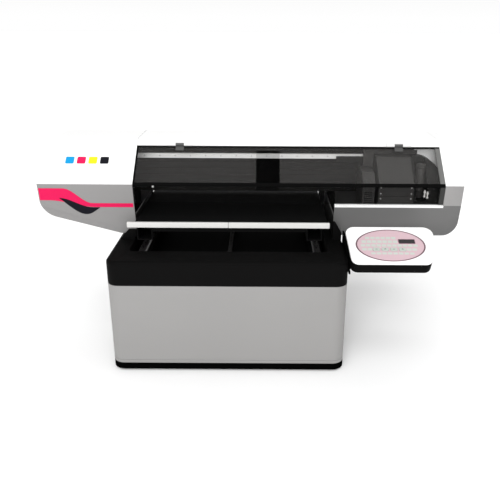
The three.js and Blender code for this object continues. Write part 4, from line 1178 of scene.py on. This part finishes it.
def panel_shells():
    lid_levels = [(4, LID_BOTTOM + 5), (4, LID_BOTTOM), (0.6, LID_BOTTOM), (0, LID_BOTTOM + 0.8)]
    radius, steps = 5.5, 6
    for k in range(steps + 1):
        angle = math.pi / 2 * k / steps
        lid_levels.append((radius * (1 - math.cos(angle)), radius * (math.sin(angle) - 1)))
    lid = rings("panel_top_fine", [panel_ring(t, z) for t, z in lid_levels])
    boolean(lid, key_holes(-20, 5))
    stand_in(on_panel(lid), "panel_top")
    floor = TRAY_BOTTOM
    outside = [(9, floor), (4, floor + 1.2), (1.2, floor + 4), (0, floor + 9)]
    outside += [(0, LID_BOTTOM - 1.4), (0.9, LID_BOTTOM - 0.4)]
    inside = [(4, LID_BOTTOM - 0.4), (4, floor + 4)]
    tray = rings("panel_tray_fine", [panel_ring(t, z) for t, z in outside + inside])
    stand_in(on_panel(tray), "panel_tray")


def keypad():
    film = prism("panel_keypad_fine", oval_points(1.0), "z", 0.25 * MM, 1.1 * MM)
    boolean(film, key_holes(-5, 5))
    stand_in(on_panel(rounded(film, 0.3, 2)), "panel_keypad")
    ring = prism("keypad_outline", oval_points(1.0), "z", 1.15 * MM, 1.5 * MM)
    boolean(ring, [prism("cut", oval_points(0.955), "z", 0, 3 * MM)])
    finished(on_panel(ring), KEYPAD_EDGE, "base", "keypad_film")
    marks = [(x, 150, 19, 14) for x in range(80, 200, 23)]
    marks += [(x, 127, 19, 16) for x in range(62, 205, 23)]
    marks += [(x, 104, 19, 14) for x in range(56, 300, 23)]
    marks += [(x, 80, 20, 14) for x in (60, 84, 254, 278)]
    marks += [(x, 56, 19, 12) for x in range(96, 265, 24)]
    patches = [centred_patch("keypad_marks", *mark, 2.5, 1.15, 1.4) for mark in marks]
    finished(on_panel(merged("keypad_marks", patches)), KEY_PRINT, "base", "keypad_film")
    for index, (x, y) in enumerate(KEY_CENTRES, 1):
        fine(f"panel_key_{index}", 1)
        dot = [label_patch("key_symbol", x - 5, x + 5, y - 1.4, y + 1.4, 1.2, 3.15, 3.4)]
        if index % 2 == 0:
            dot.append(label_patch("key_symbol", x - 1.4, x + 1.4, y + 1.6, y + 5, 1.2, 3.15, 3.4))
        symbol = merged(f"key_symbol_{index}", dot)
        finished(on_panel(symbol), KEY_DARK, f"panel_key_{index}", "key_film")
    x0, x1, y0, y1 = DISPLAY_AREA
    frame_piece = label_patch("display_bezel", x0 - 3, x1 + 3, y0 - 3, y1 + 3, 4, 1.15, 1.9)
    finished(on_panel(rounded(frame_piece, 0.4, 2)), KEYPAD_EDGE, "base", "keypad_film")
    glass = label_patch("panel_display_fine", x0, x1, y0, y1, 2.5, 1.95, 2.6)
    stand_in(on_panel(rounded(glass, 0.3, 2)), "panel_display")


# ---- the scene
camera()
studio()
finish_cad_nodes()
plinth()
cabinet()
cabinet_back()
top_rim()
base_details()
screw_thread()
housings()
roof()
passage_curtain()
front_cover()
beam_and_drive()
graphics()
carriage()
table()
panel_shells()
keypad()
